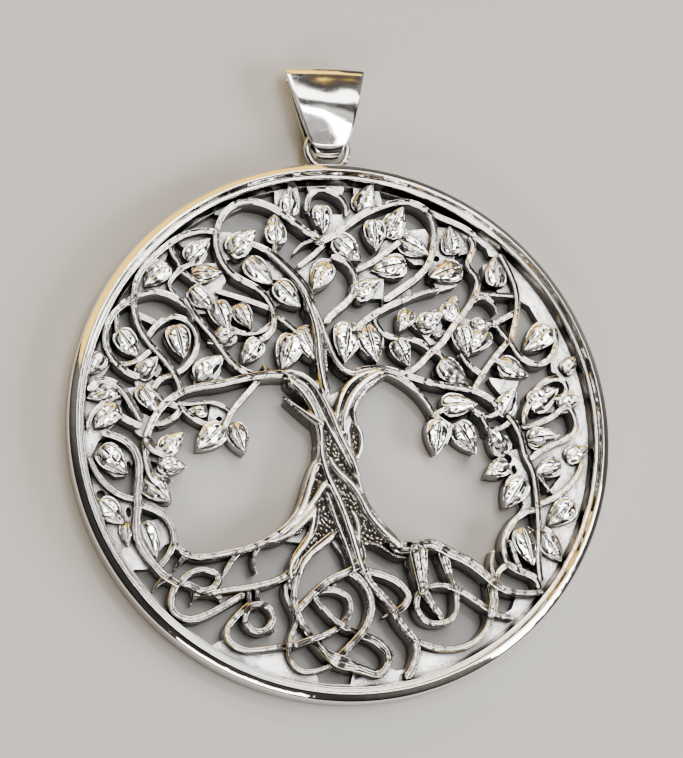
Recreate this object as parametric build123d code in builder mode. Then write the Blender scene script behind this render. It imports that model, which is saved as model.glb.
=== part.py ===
from build123d import *
from collections import namedtuple
import os

# Tree of life pendant, lying on its back: back on z = 0, face up, bail toward +Y.
# One silver casting carries rim, tree and hanging ring; a folded bail swings on the ring.

# Rim
disc_radius = 22.5
rim_width = 1.25
rim_height = 3.0
rim_back_bevel = 0.3
rim_crown_drop = 0.5
rim_crown_width = 0.8
rim_crown_peak = 0.27
rim_crown_inside_drop = 0.25
rim_step_drop = 0.65
rim_step_width = 0.15
rim_foot_width = 0.32

# Openwork tree
web_height = 1.3
vine_height = 2.0
root_height = 2.3
trunk_height = 2.8
trunk_core_height = 2.0
leaf_height = 2.5
relief_sink = 0.3
stem_width = 0.55
stem_top_share = 0.84
leaf_length = 2.66
leaf_width = 2.0
leaf_foot_reach = 0.47
leaf_foot_bulge = 0.05
leaf_foot_fullness = 0.72
leaf_tip_pull = 0.6
leaf_tip_fullness = 0.55
leaf_foot_share = 0.94
leaf_top_share = 0.6
smallest_opening = 0.06

# Hanging ring, soldered to the top of the rim
ring_radius = 1.75
ring_wire_radius = 0.3
ring_sink = 0.45
ring_height = 1.5
solder_foot_width = 2.2
solder_top_width = 1.2
solder_rise = 0.35
solder_height = 0.8

# Folded bail: three arcs of its loop, seen from the side, and how its back leaf narrows
bail_wall = 0.5
bail_bend_drop = 1.55
bail_bend_radius = 1.15
bail_belly_distance = 3.2
bail_belly_radius = 1.45
bail_top_distance = 6.05
bail_top_radius = 1.3
bail_back_share = 0.86
bail_side_reach = 0.6

openwork_radius = disc_radius - rim_width
unit = openwork_radius / 100

# Places are hundredths of the openwork radius, from the middle of the disc; stem widths
# are shares of the stem width, and leaf sizes shares of the leaf's length and width.
Stem = namedtuple("Stem", "start_width end_width route")
Leaf = namedtuple("Leaf", "x y turn size")
Plate = namedtuple("Plate", "corners")
Piercing = namedtuple("Piercing", "x y half_width half_height turn")

# Sides of the bail's front leaf: millimetres above its lowest point, and half the width there
Side = namedtuple("Side", "rise half_width")
BAIL_SIDES = (
    Side(0, 0.95), Side(0.4, 1.18), Side(0.85, 1.34), Side(1.2, 1.6), Side(1.85, 1.9), Side(3.05, 2.3),
    Side(4.85, 2.75), Side(6.15, 3.05), Side(7.55, 3.45), Side(8.5, 3.6),
)

# Vines of the crown, from the upper left round to the right edge
CANOPY_STEMS = (
    Stem(1, 1, ((-79, 50), (-86, 46), (-90, 39), (-90, 31), (-85, 23.5), (-79, 20))),
    Stem(1.1, 1.1, ((-79, 52), (-79, 45), (-75.5, 35.5), (-70, 28.5), (-65, 21.5), (-62.5, 14))),
    Stem(1, 1, ((-79, 51), (-76.5, 61), (-69, 69.5), (-60, 76), (-47, 78))),
    Stem(1, 0.8, ((-77.5, 44), (-74, 42.5), (-70.5, 40.5))),
    Stem(0.9, 0.9, ((-74, 36), (-70.5, 40.5), (-64, 43.6), (-57.5, 40.5), (-55.4, 34.5), (-57.5, 27.5),
         (-63.5, 21.5))),
    Stem(0.8, 0.8, ((-85.5, 25), (-79.5, 26), (-75, 29), (-72, 31.5))),
    Stem(0.8, 0.8, ((-86, 44), (-86, 38))),
    Stem(1.2, 1.2, ((-96.5, 15.5), (-91, 18.5), (-86, 16), (-82, 10.5), (-78.5, 4))),
    Stem(0.7, 0.7, ((-98, 1), (-96, 6), (-92, 9.8), (-86, 12.6))),
    Stem(1, 1, ((-87, 5.5), (-84, 3.6), (-79, 1))),
    Stem(1.5, 1.1, ((-15, 17.4), (-21, 20), (-29, 20.3), (-39, 18.8), (-49, 16.5), (-57, 15.4), (-65,
         12.2), (-71, 7))),
    Stem(1.1, 1.1, ((-71, 7), (-74.5, 1), (-76.7, -7), (-76.5, -13), (-75.3, -18))),
    Stem(0.8, 0.8, ((-75.5, 16.5), (-72.5, 14), (-69.5, 10.3))),
    Stem(0.9, 0.9, ((-72.5, 16), (-70.5, 18.6), (-65.3, 20.2))),
    Stem(0.9, 0.9, ((-71, 7.5), (-67, 9.2), (-63.5, 7), (-66, 3.8), (-72.5, 2))),
    Stem(0.9, 0.9, ((-33, 18), (-38, 12.3), (-43, 6.5), (-46, 1), (-47, -3))),
    Stem(0.8, 0.8, ((-62.5, 8), (-58.5, 3.8), (-53, 1), (-49, -1))),
    Stem(0.6, 0.6, ((-63.5, 9.5), (-58, 9.4), (-52, 9.9), (-47, 8.5), (-44, 6))),
    Stem(1.1, 1.1, ((-59, 50), (-55.5, 43.5), (-49, 35), (-42, 25), (-35, 20.6))),
    Stem(1, 1, ((-84, 48.5), (-79, 51.3), (-72, 53.4), (-65, 52), (-60, 48), (-57, 43))),
    Stem(0.8, 0.8, ((-64, 53.5), (-63.5, 60), (-61, 63), (-63, 68), (-63.5, 74))),
    Stem(0.8, 0.8, ((-62, 62), (-59.5, 63.5), (-56, 65))),
    Stem(0.8, 0.8, ((-60.5, 62), (-54, 57))),
    Stem(1, 1.1, ((-31, 34.5), (-27, 37.5), (-25.2, 43), (-27, 50), (-32, 55.5), (-41, 61), (-46, 70),
         (-46, 79), (-41, 87.5), (-34, 90.5), (-27, 89.5), (-19, 85), (-12, 79.5), (-7, 76))),
    Stem(2, 0.9, ((-11, 47), (-14, 57), (-20, 64), (-25, 69), (-34, 73.5))),
    Stem(0.8, 0.8, ((-14, 64.5), (-9, 68.5), (-4, 73))),
    Stem(1, 0.3, ((-4.5, 75), (-10, 74.5), (-15.5, 70.5))),
    Stem(0.9, 0.9, ((-10, 88), (-3, 96), (5, 91), (6, 86))),
    Stem(1.1, 1.1, ((-6, 74), (3, 79), (12, 85.5), (20, 89), (28, 91), (36, 89.5), (40.5, 84), (40.5,
         74), (38, 66), (33, 60), (26, 55), (20, 51))),
    Stem(0.9, 0.9, ((26, 74), (20, 69.5), (15, 66), (9, 63))),
    Stem(1, 1.1, ((0, 68), (6, 64), (8, 58), (6, 52), (0, 46.5), (-4.5, 42))),
    Stem(0.8, 0.8, ((26, 50), (33, 53), (41, 55))),
    Stem(1.2, 0.4, ((55, 50.5), (60, 51.8), (63.5, 49), (64.6, 46.3))),
    Stem(0.8, 0.8, ((57, 53.5), (64, 53), (72, 52.5))),
    Stem(1, 1, ((56, 76), (56, 70), (54, 65), (57, 60), (56, 53), (50.5, 45), (45.4, 39), (41, 33), (36,
         28.8), (31, 24), (26, 21))),
    Stem(1, 1, ((68, 69), (71, 62), (73, 55), (72.6, 46), (70.5, 38), (69.4, 34.5))),
    Stem(0.9, 0.9, ((-25, 45), (-21.5, 42), (-17, 38))),
    Stem(0.8, 0.8, ((-42, 39), (-37, 37), (-31, 37.8), (-26.2, 41))),
    Stem(1, 1, ((25, 50), (18, 46.6), (12.6, 43.4), (7.4, 39))),
    Stem(0.9, 0.9, ((14.6, 44.2), (15.4, 40.5), (19, 36.2), (25, 34.8), (30.5, 34), (36, 29.5))),
    Stem(0.8, 0.8, ((37.4, 30.2), (39.5, 29), (41.4, 26.2))),
    Stem(1, 1, ((60, 41), (63, 40.8), (66, 37), (69, 33), (72, 28), (76, 25), (80, 24.2), (84.5, 26.5),
         (87.5, 32), (87.6, 38))),
    Stem(0.9, 0.9, ((63, 41), (68, 43.5), (72.6, 45.8))),
    Stem(0.9, 0.9, ((68, 33.5), (65, 30.5), (60.2, 25), (56.4, 20), (53, 14.6))),
    Stem(0.9, 0.9, ((49, 28), (52, 23.5), (56, 20.5))),
    Stem(1, 1, ((72, 1), (73, 5.5), (75.5, 10), (79, 15), (84, 18), (89, 17.6), (90.5, 14), (86,
         10.5))),
    Stem(0.9, 0.9, ((72, -1), (80, 1.2), (86, 4.5), (90, 7), (93, 2), (92.5, -3), (88, -6.2), (80,
         -9.6), (74, -13.5))),
    Stem(1, 1, ((66, 3), (69, -2), (70.6, -8), (71.4, -13), (73.2, -17), (74.5, -24), (74.6, -35),
         (74.4, -43), (73.4, -52), (73.5, -61))),
    Stem(0.9, 0.9, ((74.6, -32.2), (83, -28.6), (90, -23.2), (94.2, -16))),
    Stem(0.8, 0.8, ((75, -41), (80, -44), (82.2, -49.4))),
    Stem(0.6, 0.6, ((76.5, -21), (80, -26))),
    Stem(1, 1, ((73, -34.2), (67.8, -35.8), (62.5, -41), (59.8, -47.5), (61.4, -55), (66.2, -58.2),
         (71.4, -61), (72.4, -64))),
    Stem(0.9, 0.9, ((61.4, -55), (57, -57.8), (55, -61.5))),
    Stem(1.1, 1, ((3, 20.6), (9, 22.4), (16, 22.8), (23, 21), (33, 17.5), (43, 15.4), (51, 14), (57,
         11.5), (61, 8))),
    Stem(1.2, 0.8, ((5, 13.8), (11, 19.8), (17, 21.4), (25, 17.8), (31, 12.2), (35.8, 4.2))),
    Stem(0.8, 0.8, ((-47, 54), (-40, 51.8), (-33, 49.5), (-27, 47))),
    Stem(0.9, 0.9, ((39, 87.5), (45, 84.5), (51, 82), (57, 78))),
    Stem(1.5, 1.2, ((-76, -5), (-72.5, -9), (-69, -10))),
    Stem(0.8, 0.8, ((52.5, 5.5), (57, 3.4), (62, 5))),
    Stem(0.8, 0.8, ((52.5, 5), (56.5, 0), (57, -3))),
    Stem(0.8, 0.8, ((57, -1.5), (62, -1.5), (66, 1))),
    Stem(1.2, 0.3, ((-29, 21.5), (-30, 24.8))),
    Stem(0.8, 0.8, ((-23, 75), (-24, 70))),
    Stem(0.8, 0.8, ((66, 24), (62, 26.5))),
    Stem(0.8, 0.8, ((35.5, 4), (41, 6.8))),
    Stem(0.8, 0.8, ((35.8, 4.2), (38.5, 2), (43, -1))),
)

# Twisted strands of the trunk, from the leader and the crotch down to the root crown
TRUNK_STEMS = (
    Stem(1, 1.9, ((-13, 52), (-10.5, 44), (-9, 36), (-8.8, 28), (-8.2, 20), (-7.2, 14))),
    Stem(0.9, 1, ((-11.5, 50), (-7.5, 42), (-5.5, 35), (-3.2, 28), (0, 23), (5, 20.8))),
    Stem(0.6, 0.6, ((-9.5, 46), (-7, 38), (-6, 31), (-6, 24), (-6.5, 16))),
    Stem(1, 1.3, ((-22, 21), (-14.5, 19.5), (-10.5, 15.5), (-7.5, 10), (-5, 4), (-3, -2), (-0.5, -8),
         (2, -13.5), (3.5, -19))),
    Stem(0.9, 0.8, ((-21, 19), (-14.5, 15.5), (-11, 10), (-8.5, 4), (-6, -1.5), (-3, -7.5), (0, -14),
         (3, -20.5))),
    Stem(1.5, 1.2, ((-20.5, 17.5), (-17, 14), (-13.5, 9), (-11, 3), (-9.8, -3), (-10, -9), (-11, -14))),
    Stem(1.1, 0.9, ((14, 21.5), (8, 20), (3, 17), (-0.5, 12), (-2.3, 7), (-3, 2))),
    Stem(1.4, 1.2, ((15, 20.5), (10, 18), (5, 13.5), (2, 9), (0, 3.5), (-0.5, -2))),
    Stem(0.6, 0.8, ((17, 20), (11, 15.8), (6.5, 11), (4.3, 7), (4, 2), (4.6, -2))),
    Stem(1.2, 0.7, ((1.5, 2), (0.9, -4), (1.7, -9), (3.8, -14))),
    Stem(1, 0.7, ((4.6, -0.5), (6.1, -4.5), (5.6, -9), (4, -13.5))),
    Stem(1.1, 1.5, ((-6.5, -13.5), (-4, -18), (0, -22), (3.5, -27), (6.5, -33.5), (11, -40), (18, -47))),
    Stem(0.6, 0.6, ((-5, -4), (-2.5, -10), (0, -15.5), (2.5, -20.5))),
    Stem(0.9, 1.1, ((3.4, -18), (4.8, -25), (7.5, -32), (12, -38.5), (18, -45.5))),
    Stem(1.4, 1.2, ((-10, -8), (-9.3, -15), (-7.2, -22), (-4.2, -29), (-1.8, -36), (0.2, -43), (1.8,
         -50), (3.5, -56))),
    Stem(1, 1, ((-8.5, -27), (-6.8, -33), (-4.6, -40), (-2, -48), (0, -56))),
    Stem(0.9, 0.8, ((1, -34), (2.8, -39), (2.6, -44), (2.5, -50))),
    Stem(1, 0.8, ((-10.5, -12), (-13.5, -18), (-15.3, -24), (-17.5, -30), (-21.5, -36), (-27, -41))),
    Stem(1.2, 0.8, ((-9.5, -23), (-13, -28), (-18, -34), (-24.5, -39.5))),
    Stem(1.2, 0.8, ((-14, -33), (-19, -38), (-24, -42), (-32, -44.5))),
    Stem(0.9, 0.9, ((-13.5, -32), (-15, -39), (-17.5, -45), (-22.5, -51), (-24, -58))),
    Stem(1, 0.9, ((-7.5, -43), (-12.5, -46.8), (-17.5, -51), (-20.5, -57))),
    Stem(1.6, 0.6, ((-10, 1), (-16, 5.5), (-22, 10.5))),
    Stem(0.6, 0.6, ((3, -46.6), (6.2, -45.8), (10, -46.6), (15, -49.8), (21, -51.5))),
)

# Roots and the knotwork below the trunk
ROOT_STEMS = (
    Stem(1.4, 1, ((-12, -15), (-15.5, -23), (-19.5, -33), (-26, -40), (-36, -45.5), (-50, -48.8), (-61,
         -49), (-66.6, -45))),
    Stem(1, 1, ((-67.8, -45), (-67.4, -41), (-69.4, -35.4), (-74, -31.6), (-80.6, -29.4))),
    Stem(1, 1, ((-67.8, -45), (-70, -49), (-73.4, -52.8))),
    Stem(1.2, 1.2, ((-92, -2), (-86, -4), (-81, -8.5), (-79.5, -14), (-80, -22), (-80.8, -33), (-80.6,
         -43), (-77, -49.5), (-72.6, -55), (-66.6, -59.4))),
    Stem(0.9, 0.9, ((-97.8, -11.8), (-94.6, -18.2), (-89.4, -23.8), (-82, -27))),
    Stem(1.1, 1.1, ((-66.8, -59), (-69, -64), (-68.6, -69.5), (-64.2, -72.4), (-57, -71.4), (-49,
         -67.6), (-43, -64.5))),
    Stem(1, 1, ((-65.8, -59), (-60.6, -55), (-55, -54.6), (-51.6, -57), (-51.8, -59.2))),
    Stem(1, 1, ((-51.6, -57.6), (-52.4, -60), (-55, -61.8), (-58.4, -62), (-61, -60.4), (-64.5, -59.4))),
    Stem(1.2, 1, ((-20.6, -50), (-24, -56), (-31.8, -59.8), (-43, -61.8), (-53, -63))),
    Stem(0.9, 0.5, ((-43.8, -48.6), (-48.6, -55), (-51, -60))),
    Stem(0.9, 0.3, ((-36, -46.5), (-37.8, -51), (-36.8, -55.3))),
    Stem(1.2, 0.2, ((-63, -49), (-65.5, -51.5), (-67, -53.4))),
    Stem(1.2, 0.2, ((-60, -61.5), (-60, -64), (-61.4, -66.6))),
    Stem(1.2, 0.2, ((-70, -57), (-73, -58.4), (-75.4, -61.4))),
    Stem(1.2, 1.2, ((-7.8, -42.6), (-14.2, -47.4), (-19.5, -53), (-22.5, -61), (-23, -69), (-19.5,
         -77.5), (-14, -85.5), (-8, -91), (1, -93.5), (8, -95), (11.3, -90), (8, -84), (2.5, -81))),
    Stem(0.8, 0.8, ((-26, -61), (-25.5, -67), (-23, -73.5), (-25.4, -81), (-26, -88), (-23, -92.3),
         (-16.8, -93.2), (-11, -91.5))),
    Stem(1, 1, ((-40.6, -68.2), (-47, -73.8), (-49.3, -78.5), (-46, -83.2), (-38, -84.8), (-27,
         -83.8))),
    Stem(1, 1, ((-37.6, -68), (-33.6, -68.6), (-31.6, -72), (-33, -76), (-36.8, -77.8))),
    Stem(1, 1, ((-35.4, -77.6), (-39, -77.4), (-41.8, -74.4), (-41.2, -70), (-37, -68))),
    Stem(0.8, 0.8, ((-40.3, -62.5), (-40.3, -68.5))),
    Stem(0.8, 0.8, ((-37, -62.5), (-37, -68.5))),
    Stem(0.8, 0.3, ((-35, -77), (-31, -77.6))),
    Stem(1.3, 1.1, ((2.5, -46), (2, -54), (-1, -56), (-8, -58.7), (-13.4, -62.4), (-18, -66.5), (-22.5,
         -70.6))),
    Stem(1, 1, ((-13.4, -63.6), (-7.4, -63.4), (-2.5, -66.5), (-2.5, -72), (-8, -78), (-15, -80.8),
         (-23, -83.2))),
    Stem(1, 1, ((-15, -66.6), (-11, -71.6), (-6, -76.5), (1, -79.8), (8, -83), (12.4, -88))),
    Stem(1, 1, ((-15, -81), (-12, -86.2), (-6, -89), (1, -92.5), (6, -94.5))),
    Stem(1.2, 1.2, ((-1, -57), (5, -64), (6, -70), (4, -76.5), (-1, -82.5), (-7, -88))),
    Stem(1.3, 1.3, ((3.5, -55), (7, -62), (13, -69.4), (17.8, -77.8), (22, -84), (21.8, -90), (18.5,
         -96))),
    Stem(1.2, 1.2, ((3, -56), (11, -58), (18, -62), (20.5, -66.5), (18, -70.6), (14.5, -72))),
    Stem(1, 1, ((14.5, -71.5), (18, -78.5), (26, -84.8), (36, -86.8), (45, -84.5), (51, -78.5), (52.3,
         -74))),
    Stem(2.2, 1, ((17, -47.5), (25, -47.6), (31, -47.2), (38, -50.4), (45, -54), (51.4, -59.4), (57,
         -64.2), (65, -66.5), (71, -66.5))),
    Stem(1, 1, ((29.8, -63), (35, -62.8), (43, -66), (51, -71.8), (60.6, -75.8))),
    Stem(1, 1, ((26.4, -64), (23.6, -70), (26.5, -75.6), (32, -77), (37.4, -75), (39.3, -69), (38.6,
         -62))),
    Stem(1.4, 1, ((26.4, -64.5), (29.5, -69.5), (33, -74.8))),
    Stem(3.2, 1.6, ((25, -50), (25.7, -57), (26.4, -65))),
    Stem(1.6, 1.6, ((53.5, -63.5), (53.8, -69), (52.5, -74))),
    Stem(1.8, 1, ((35, -50.5), (36.6, -57), (38.6, -63))),
    Stem(0.9, 0.5, ((55, -61.6), (54.2, -56), (55.6, -50))),
    Stem(1.2, 0.8, ((-13.4, -33), (-15.4, -41.4), (-22.5, -51), (-24.5, -57), (-24.5, -62))),
    Stem(0.6, 0.6, ((-60, -63.5), (-56.6, -63.4), (-50.6, -64.8))),
    Stem(0.8, 0.8, ((62.5, -46.5), (63.5, -51), (65.5, -57))),
    Stem(0.8, 0.3, ((14.5, -72), (11.5, -73.4))),
    Stem(1, 0.4, ((-70.5, -19), (-68, -20))),
)

# Leaves: place of the middle, turn of the tip in degrees and length share
LEAVES = (
    Leaf(-70, 61, 225, 1), Leaf(-54, 70.5, 45, 1), Leaf(-51, 61, 0, 0.9), Leaf(-53.5, 51.5, -45, 0.9),
    Leaf(-82.2, 33.5, -55, 1), Leaf(-62.5, 34, -80, 1.1), Leaf(-75, 24, 47, 0.85),
    Leaf(-94.5, 25.5, 230, 0.8), Leaf(-92, 14, 200, 0.9), Leaf(-91, 5, 230, 1),
    Leaf(-75, 11.5, -60, 0.95), Leaf(-56, 6.5, 180, 0.6), Leaf(-52, -3.5, 222, 1.1),
    Leaf(-41.3, -4, -72, 1), Leaf(-51.5, 23.5, 42, 1.1), Leaf(-45.5, 36, 200, 0.9),
    Leaf(-45.5, 44.5, -70, 1), Leaf(-37, 44, -65, 0.9), Leaf(-34.5, 30.5, 230, 0.9),
    Leaf(-20, 30, -110, 1.2), Leaf(-12.5, 33, -70, 1.2), Leaf(-36.5, 74, 40, 1.1), Leaf(-23, 79, 90, 1),
    Leaf(-30.5, 62, -48, 1.1), Leaf(-17, 91, 90, 0.9), Leaf(-19.5, 53, -50, 1.05), Leaf(-4, 84.5, -90, 0.9),
    Leaf(-5.5, 60.5, -120, 1.05), Leaf(14, 92.5, 60, 1), Leaf(5.5, 72, -45, 1.1), Leaf(17, 78, -90, 1),
    Leaf(25.5, 82.5, 60, 1.1), Leaf(32.5, 73, -30, 1.05), Leaf(22.5, 64.5, 190, 1.1), Leaf(12, 55.5, 30, 1),
    Leaf(45, 62, 200, 1.1), Leaf(48, 75, 90, 0.9), Leaf(65, 62, 90, 1), Leaf(3, 34, -100, 1.3),
    Leaf(12.5, 33.5, -80, 1.3), Leaf(25, 30, -65, 0.9), Leaf(44.3, 21.2, -40, 1.1),
    Leaf(37, 42.5, 30, 0.9), Leaf(27, 42.5, 240, 0.8), Leaf(46, 47, 60, 0.9), Leaf(50.3, 34.5, -80, 1),
    Leaf(56.5, 34, -130, 0.95), Leaf(58, 40.5, 0, 0.7), Leaf(81, 35, 221, 1.15), Leaf(69, 22.5, -30, 1),
    Leaf(66, 9, 60, 1), Leaf(80.5, 10.5, 30, 1.1), Leaf(93, 24, 45, 0.7), Leaf(91, 9, 20, 0.8),
    Leaf(46, 8, 0, 1.1), Leaf(37, -4, -100, 1.1), Leaf(48, -4.5, -60, 1.1), Leaf(61, -6.5, 125, 0.95),
    Leaf(60, -17.8, 205, 0.85), Leaf(66, -26.5, 235, 1.1), Leaf(80.5, -17.5, 200, 0.9),
    Leaf(79, -5, 8, 1), Leaf(92.5, -12, 25, 0.8), Leaf(84.5, -35.5, 220, 1.1), Leaf(79, -48.5, -60, 1),
    Leaf(69, -48, -80, 1.2), Leaf(-89, -11.5, -45, 1.1), Leaf(-90.5, -31.5, -45, 1),
    Leaf(-84.5, -40, -90, 0.7), Leaf(-76.5, -42, -70, 1.1), Leaf(-66.8, -6, 40, 0.9),
    Leaf(-67.3, -14, -8, 0.85), Leaf(-73, -23.5, -45, 1.1), Leaf(35.4, -47.4, -20, 0.4),
    Leaf(40, 36.6, 30, 0.35),
)

# Plain plates of the web between stems, leaves and rim
PLATES = (
    Plate(((-88, 47), (-91, 40), (-91, 30), (-88, 26.5), (-91, 22), (-95.5, 18), (-102, 16), (-99, 32),
         (-93, 45))),
    Plate(((-97, 16), (-91, 18), (-86, 15), (-84.5, 11.5), (-87, 7), (-87, 3), (-89.5, 0.5), (-91.5,
         -2.5), (-94, -4), (-96, -8), (-98, -12), (-103, 0))),
    Plate(((-101, -12), (-96, -14), (-94.6, -18), (-89, -24), (-82, -27), (-81, -35), (-81, -44), (-77,
         -51), (-77, -53), (-82, -53), (-84.5, -55), (-91, -47), (-99, -28))),
    Plate(((-80, -36), (-72, -34), (-68.5, -38), (-68, -43), (-70.5, -44), (-76, -50), (-80, -45))),
    Plate(((-94, -8), (-92, -7.5), (-89, -8), (-87.5, -3.5), (-82, -8), (-81, -12), (-84, -17.5), (-88,
         -18), (-92.5, -15))),
    Plate(((-81, 2), (-79, 5), (-76, 6), (-72.5, 4), (-74.5, -1), (-76, -4), (-80, -1))),
    Plate(((-85, 16), (-80, 16.5), (-78, 17), (-79, 13), (-82, 11))),
    Plate(((-80, 20.5), (-75, 21), (-71, 18), (-73, 15.5), (-79, 16))),
    Plate(((-72, 28), (-69, 24), (-71, 20.5), (-73, 22))),
    Plate(((-79, 36.5), (-76, 35), (-73, 30.5), (-78, 27.5), (-80, 30))),
    Plate(((-62, 42), (-57.5, 39.5), (-57.5, 35), (-60, 34), (-64, 40))),
    Plate(((-76, -4), (-73.5, -7.5), (-71, -7), (-70, -10), (-71.5, -13), (-74, -12), (-76.5, -12))),
    Plate(((-72.5, -14), (-70, -16), (-68.5, -19), (-70, -21), (-76, -19.5), (-75, -18))),
    Plate(((-80, -20), (-76, -20), (-74, -28), (-70, -31), (-75, -31), (-80, -29))),
    Plate(((-53, 0), (-51, 9.5), (-47, 8.5), (-43.5, 6), (-44, 1), (-45, -3), (-48, -4))),
    Plate(((-57, 19), (-57, 16), (-50, 17), (-45, 19), (-49, 22))),
    Plate(((-59, 50), (-56, 53), (-50, 49), (-50, 45.8), (-54, 45.8), (-57, 45))),
    Plate(((-52, 50), (-47, 50.5), (-46, 54), (-43, 59), (-44, 62), (-46, 66), (-54, 66), (-50, 58),
         (-54, 56))),
    Plate(((-78, 54), (-76.5, 61), (-70, 69), (-66, 72), (-65, 70), (-67, 66), (-66, 60), (-65, 53.5))),
    Plate(((-46.5, 79), (-40, 78.5), (-37, 74), (-37, 70), (-42, 67.5), (-47, 66))),
    Plate(((-30, 67), (-25, 68), (-18, 62), (-20, 59), (-26, 60), (-29, 62))),
    Plate(((-28, 55), (-21, 54), (-20, 50), (-27, 48))),
    Plate(((-62, 75), (-58.5, 72), (-52, 76), (-48, 76.5), (-47, 79.5), (-60, 76.5))),
    Plate(((-77, 60), (-70, 69), (-62, 75), (-60, 80), (-65, 80), (-76, 69), (-82, 60))),
    Plate(((-46, 86), (-41, 86), (-33, 90), (-31, 96), (-47, 91))),
    Plate(((-20, 84), (-14, 86), (-12, 92), (-13, 98), (-22, 97), (-22, 88))),
    Plate(((-9.5, 88), (-6, 81), (-9, 76.5), (-3, 73.5), (2, 78), (9, 84), (14, 89), (11, 91), (7,
         88.5), (4, 86.5), (-8, 86.5))),
    Plate(((10, 88), (22, 90), (21, 93), (20, 99), (10, 98))),
    Plate(((-8, 95), (-3, 97), (4, 93), (6, 97), (6, 102), (-10, 102))),
    Plate(((-17, 62), (-11, 66), (-5, 68.5), (1, 68), (-2, 62), (-7, 58), (-9, 52), (-12, 52))),
    Plate(((8, 64), (9, 52), (19, 52), (20, 60), (22, 66), (15, 66))),
    Plate(((17, 68), (21, 70.5), (27, 75), (31, 80), (29, 84), (24, 79), (20, 74))),
    Plate(((30, 80), (38, 81), (41, 76), (38, 66), (33, 66), (28, 70))),
    Plate(((18, 47), (25, 50), (31, 54), (30, 57), (24, 55), (19, 51))),
    Plate(((40, 80), (43, 82), (52, 81), (57, 77), (56, 71), (50, 70), (48, 66.5), (54, 66), (51, 61),
         (49, 57), (42, 55), (38, 62), (41, 70))),
    Plate(((51, 82), (57, 78), (63, 73), (64, 70), (69, 69), (72, 60), (74, 52), (79, 49), (82, 43),
         (83, 40), (88, 38), (88.5, 32), (86, 27), (86, 22), (88, 21), (90, 18), (91, 13), (90, 9), (93,
         4), (94, -2), (93, -5), (96, -10), (103, -5), (102, 10), (98, 30), (90, 48), (80, 64), (70,
         75), (57, 85))),
    Plate(((61, 57), (66, 57), (66, 54), (72, 53), (73, 60), (70, 68), (66, 68), (61, 66))),
    Plate(((47, 43), (52, 44), (58, 42), (61, 41), (60, 37), (55, 39), (50, 41))),
    Plate(((31, 40), (34, 37), (37, 33), (41, 34), (44, 38), (42, 42), (44, 46), (40, 47.5), (33, 44),
         (30, 46), (28, 43))),
    Plate(((60, 19.5), (66, 19), (72, 18), (70, 14), (64, 13), (61, 17))),
    Plate(((75, 12), (80, 16), (84, 17.5), (86, 11), (90, 9.5), (88, 6), (82, 5), (77, 5), (74, 8))),
    Plate(((67, 3), (71, 2), (75, -1), (76, -8), (73, -14), (70.5, -9))),
    Plate(((62, -9), (66, -10), (70.5, -9), (71.5, -14), (73, -17), (73, -26), (68, -22), (64, -17),
         (61, -13))),
    Plate(((68, -24), (74, -24), (74, -34), (67, -35.5), (70, -31.5))),
    Plate(((74, -13), (80, -10.5), (88, -7), (93, -5), (103, -5), (100, -22), (93, -38), (86, -52), (78,
         -63), (73, -62), (74, -50), (75, -42), (75, -32), (83, -28.5), (81, -26), (86, -20.5), (84,
         -18), (77, -19.5), (74.5, -16))),
    Plate(((73, -61), (71, -64), (71, -66.5), (64, -67), (62, -72), (57, -74.5), (52, -75), (51, -80),
         (45, -86), (30, -88), (24, -86), (22.5, -92), (18, -93.5), (15, -94), (12, -92.5), (9, -96),
         (2, -95.5), (-1.5, -94), (-3, -99), (15, -103), (35, -97), (57, -86), (74, -71), (80, -61))),
    Plate(((-16, -93), (-23, -93), (-27, -90), (-27, -84.5), (-36, -86), (-46, -84), (-50, -80), (-54,
         -82), (-56, -85), (-42, -93), (-25, -100), (-13, -102), (-15, -97))),
    Plate(((-75, -68.5), (-73, -67.5), (-69.5, -68), (-68.5, -71), (-64.5, -73), (-64, -77), (-66,
         -78))),
    Plate(((-24, -75), (-21, -77), (-17, -81), (-24, -83.5), (-26, -82))),
    Plate(((-14, -63), (-10, -60), (-6, -60.5), (-8, -63.5))),
    Plate(((-54, -62), (-44, -63), (-43, -65), (-50, -67), (-52, -64.5))),
    Plate(((-34, -45), (-25, -43.5), (-19, -44.5), (-18, -46), (-16, -38), (-24, -40))),
    Plate(((-17, 13), (-11, 3), (-10.5, -13), (-15.5, -25), (-20, -35), (-19, -43), (-15, -47), (-7,
         -44), (-3, -50), (-2, -55), (2.5, -56), (4, -46), (10, -46), (17, -49), (10, -38), (5, -26),
         (3.8, -14), (5, -8), (5, 11), (9, 18), (-4, 13))),
)

# Core of the trunk, under its strands
TRUNK_CORE = (
    Plate(((-16, 15), (-12, 6), (-10.5, -3), (-11, -13), (-15, -22), (-18, -31), (-24, -40), (-20, -42),
         (-15, -36), (-16, -44), (-23, -52), (-23, -58), (-20, -57), (-16, -49), (-8, -43), (-4, -44),
         (-1, -54), (3, -54), (4, -46), (15, -46), (8, -35), (4, -20), (3.6, -14), (6, -8), (5, 0), (4,
         8), (14, 20.5), (4, 18.5), (-2, 9), (-6, 7), (-10, 15))),
)

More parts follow.
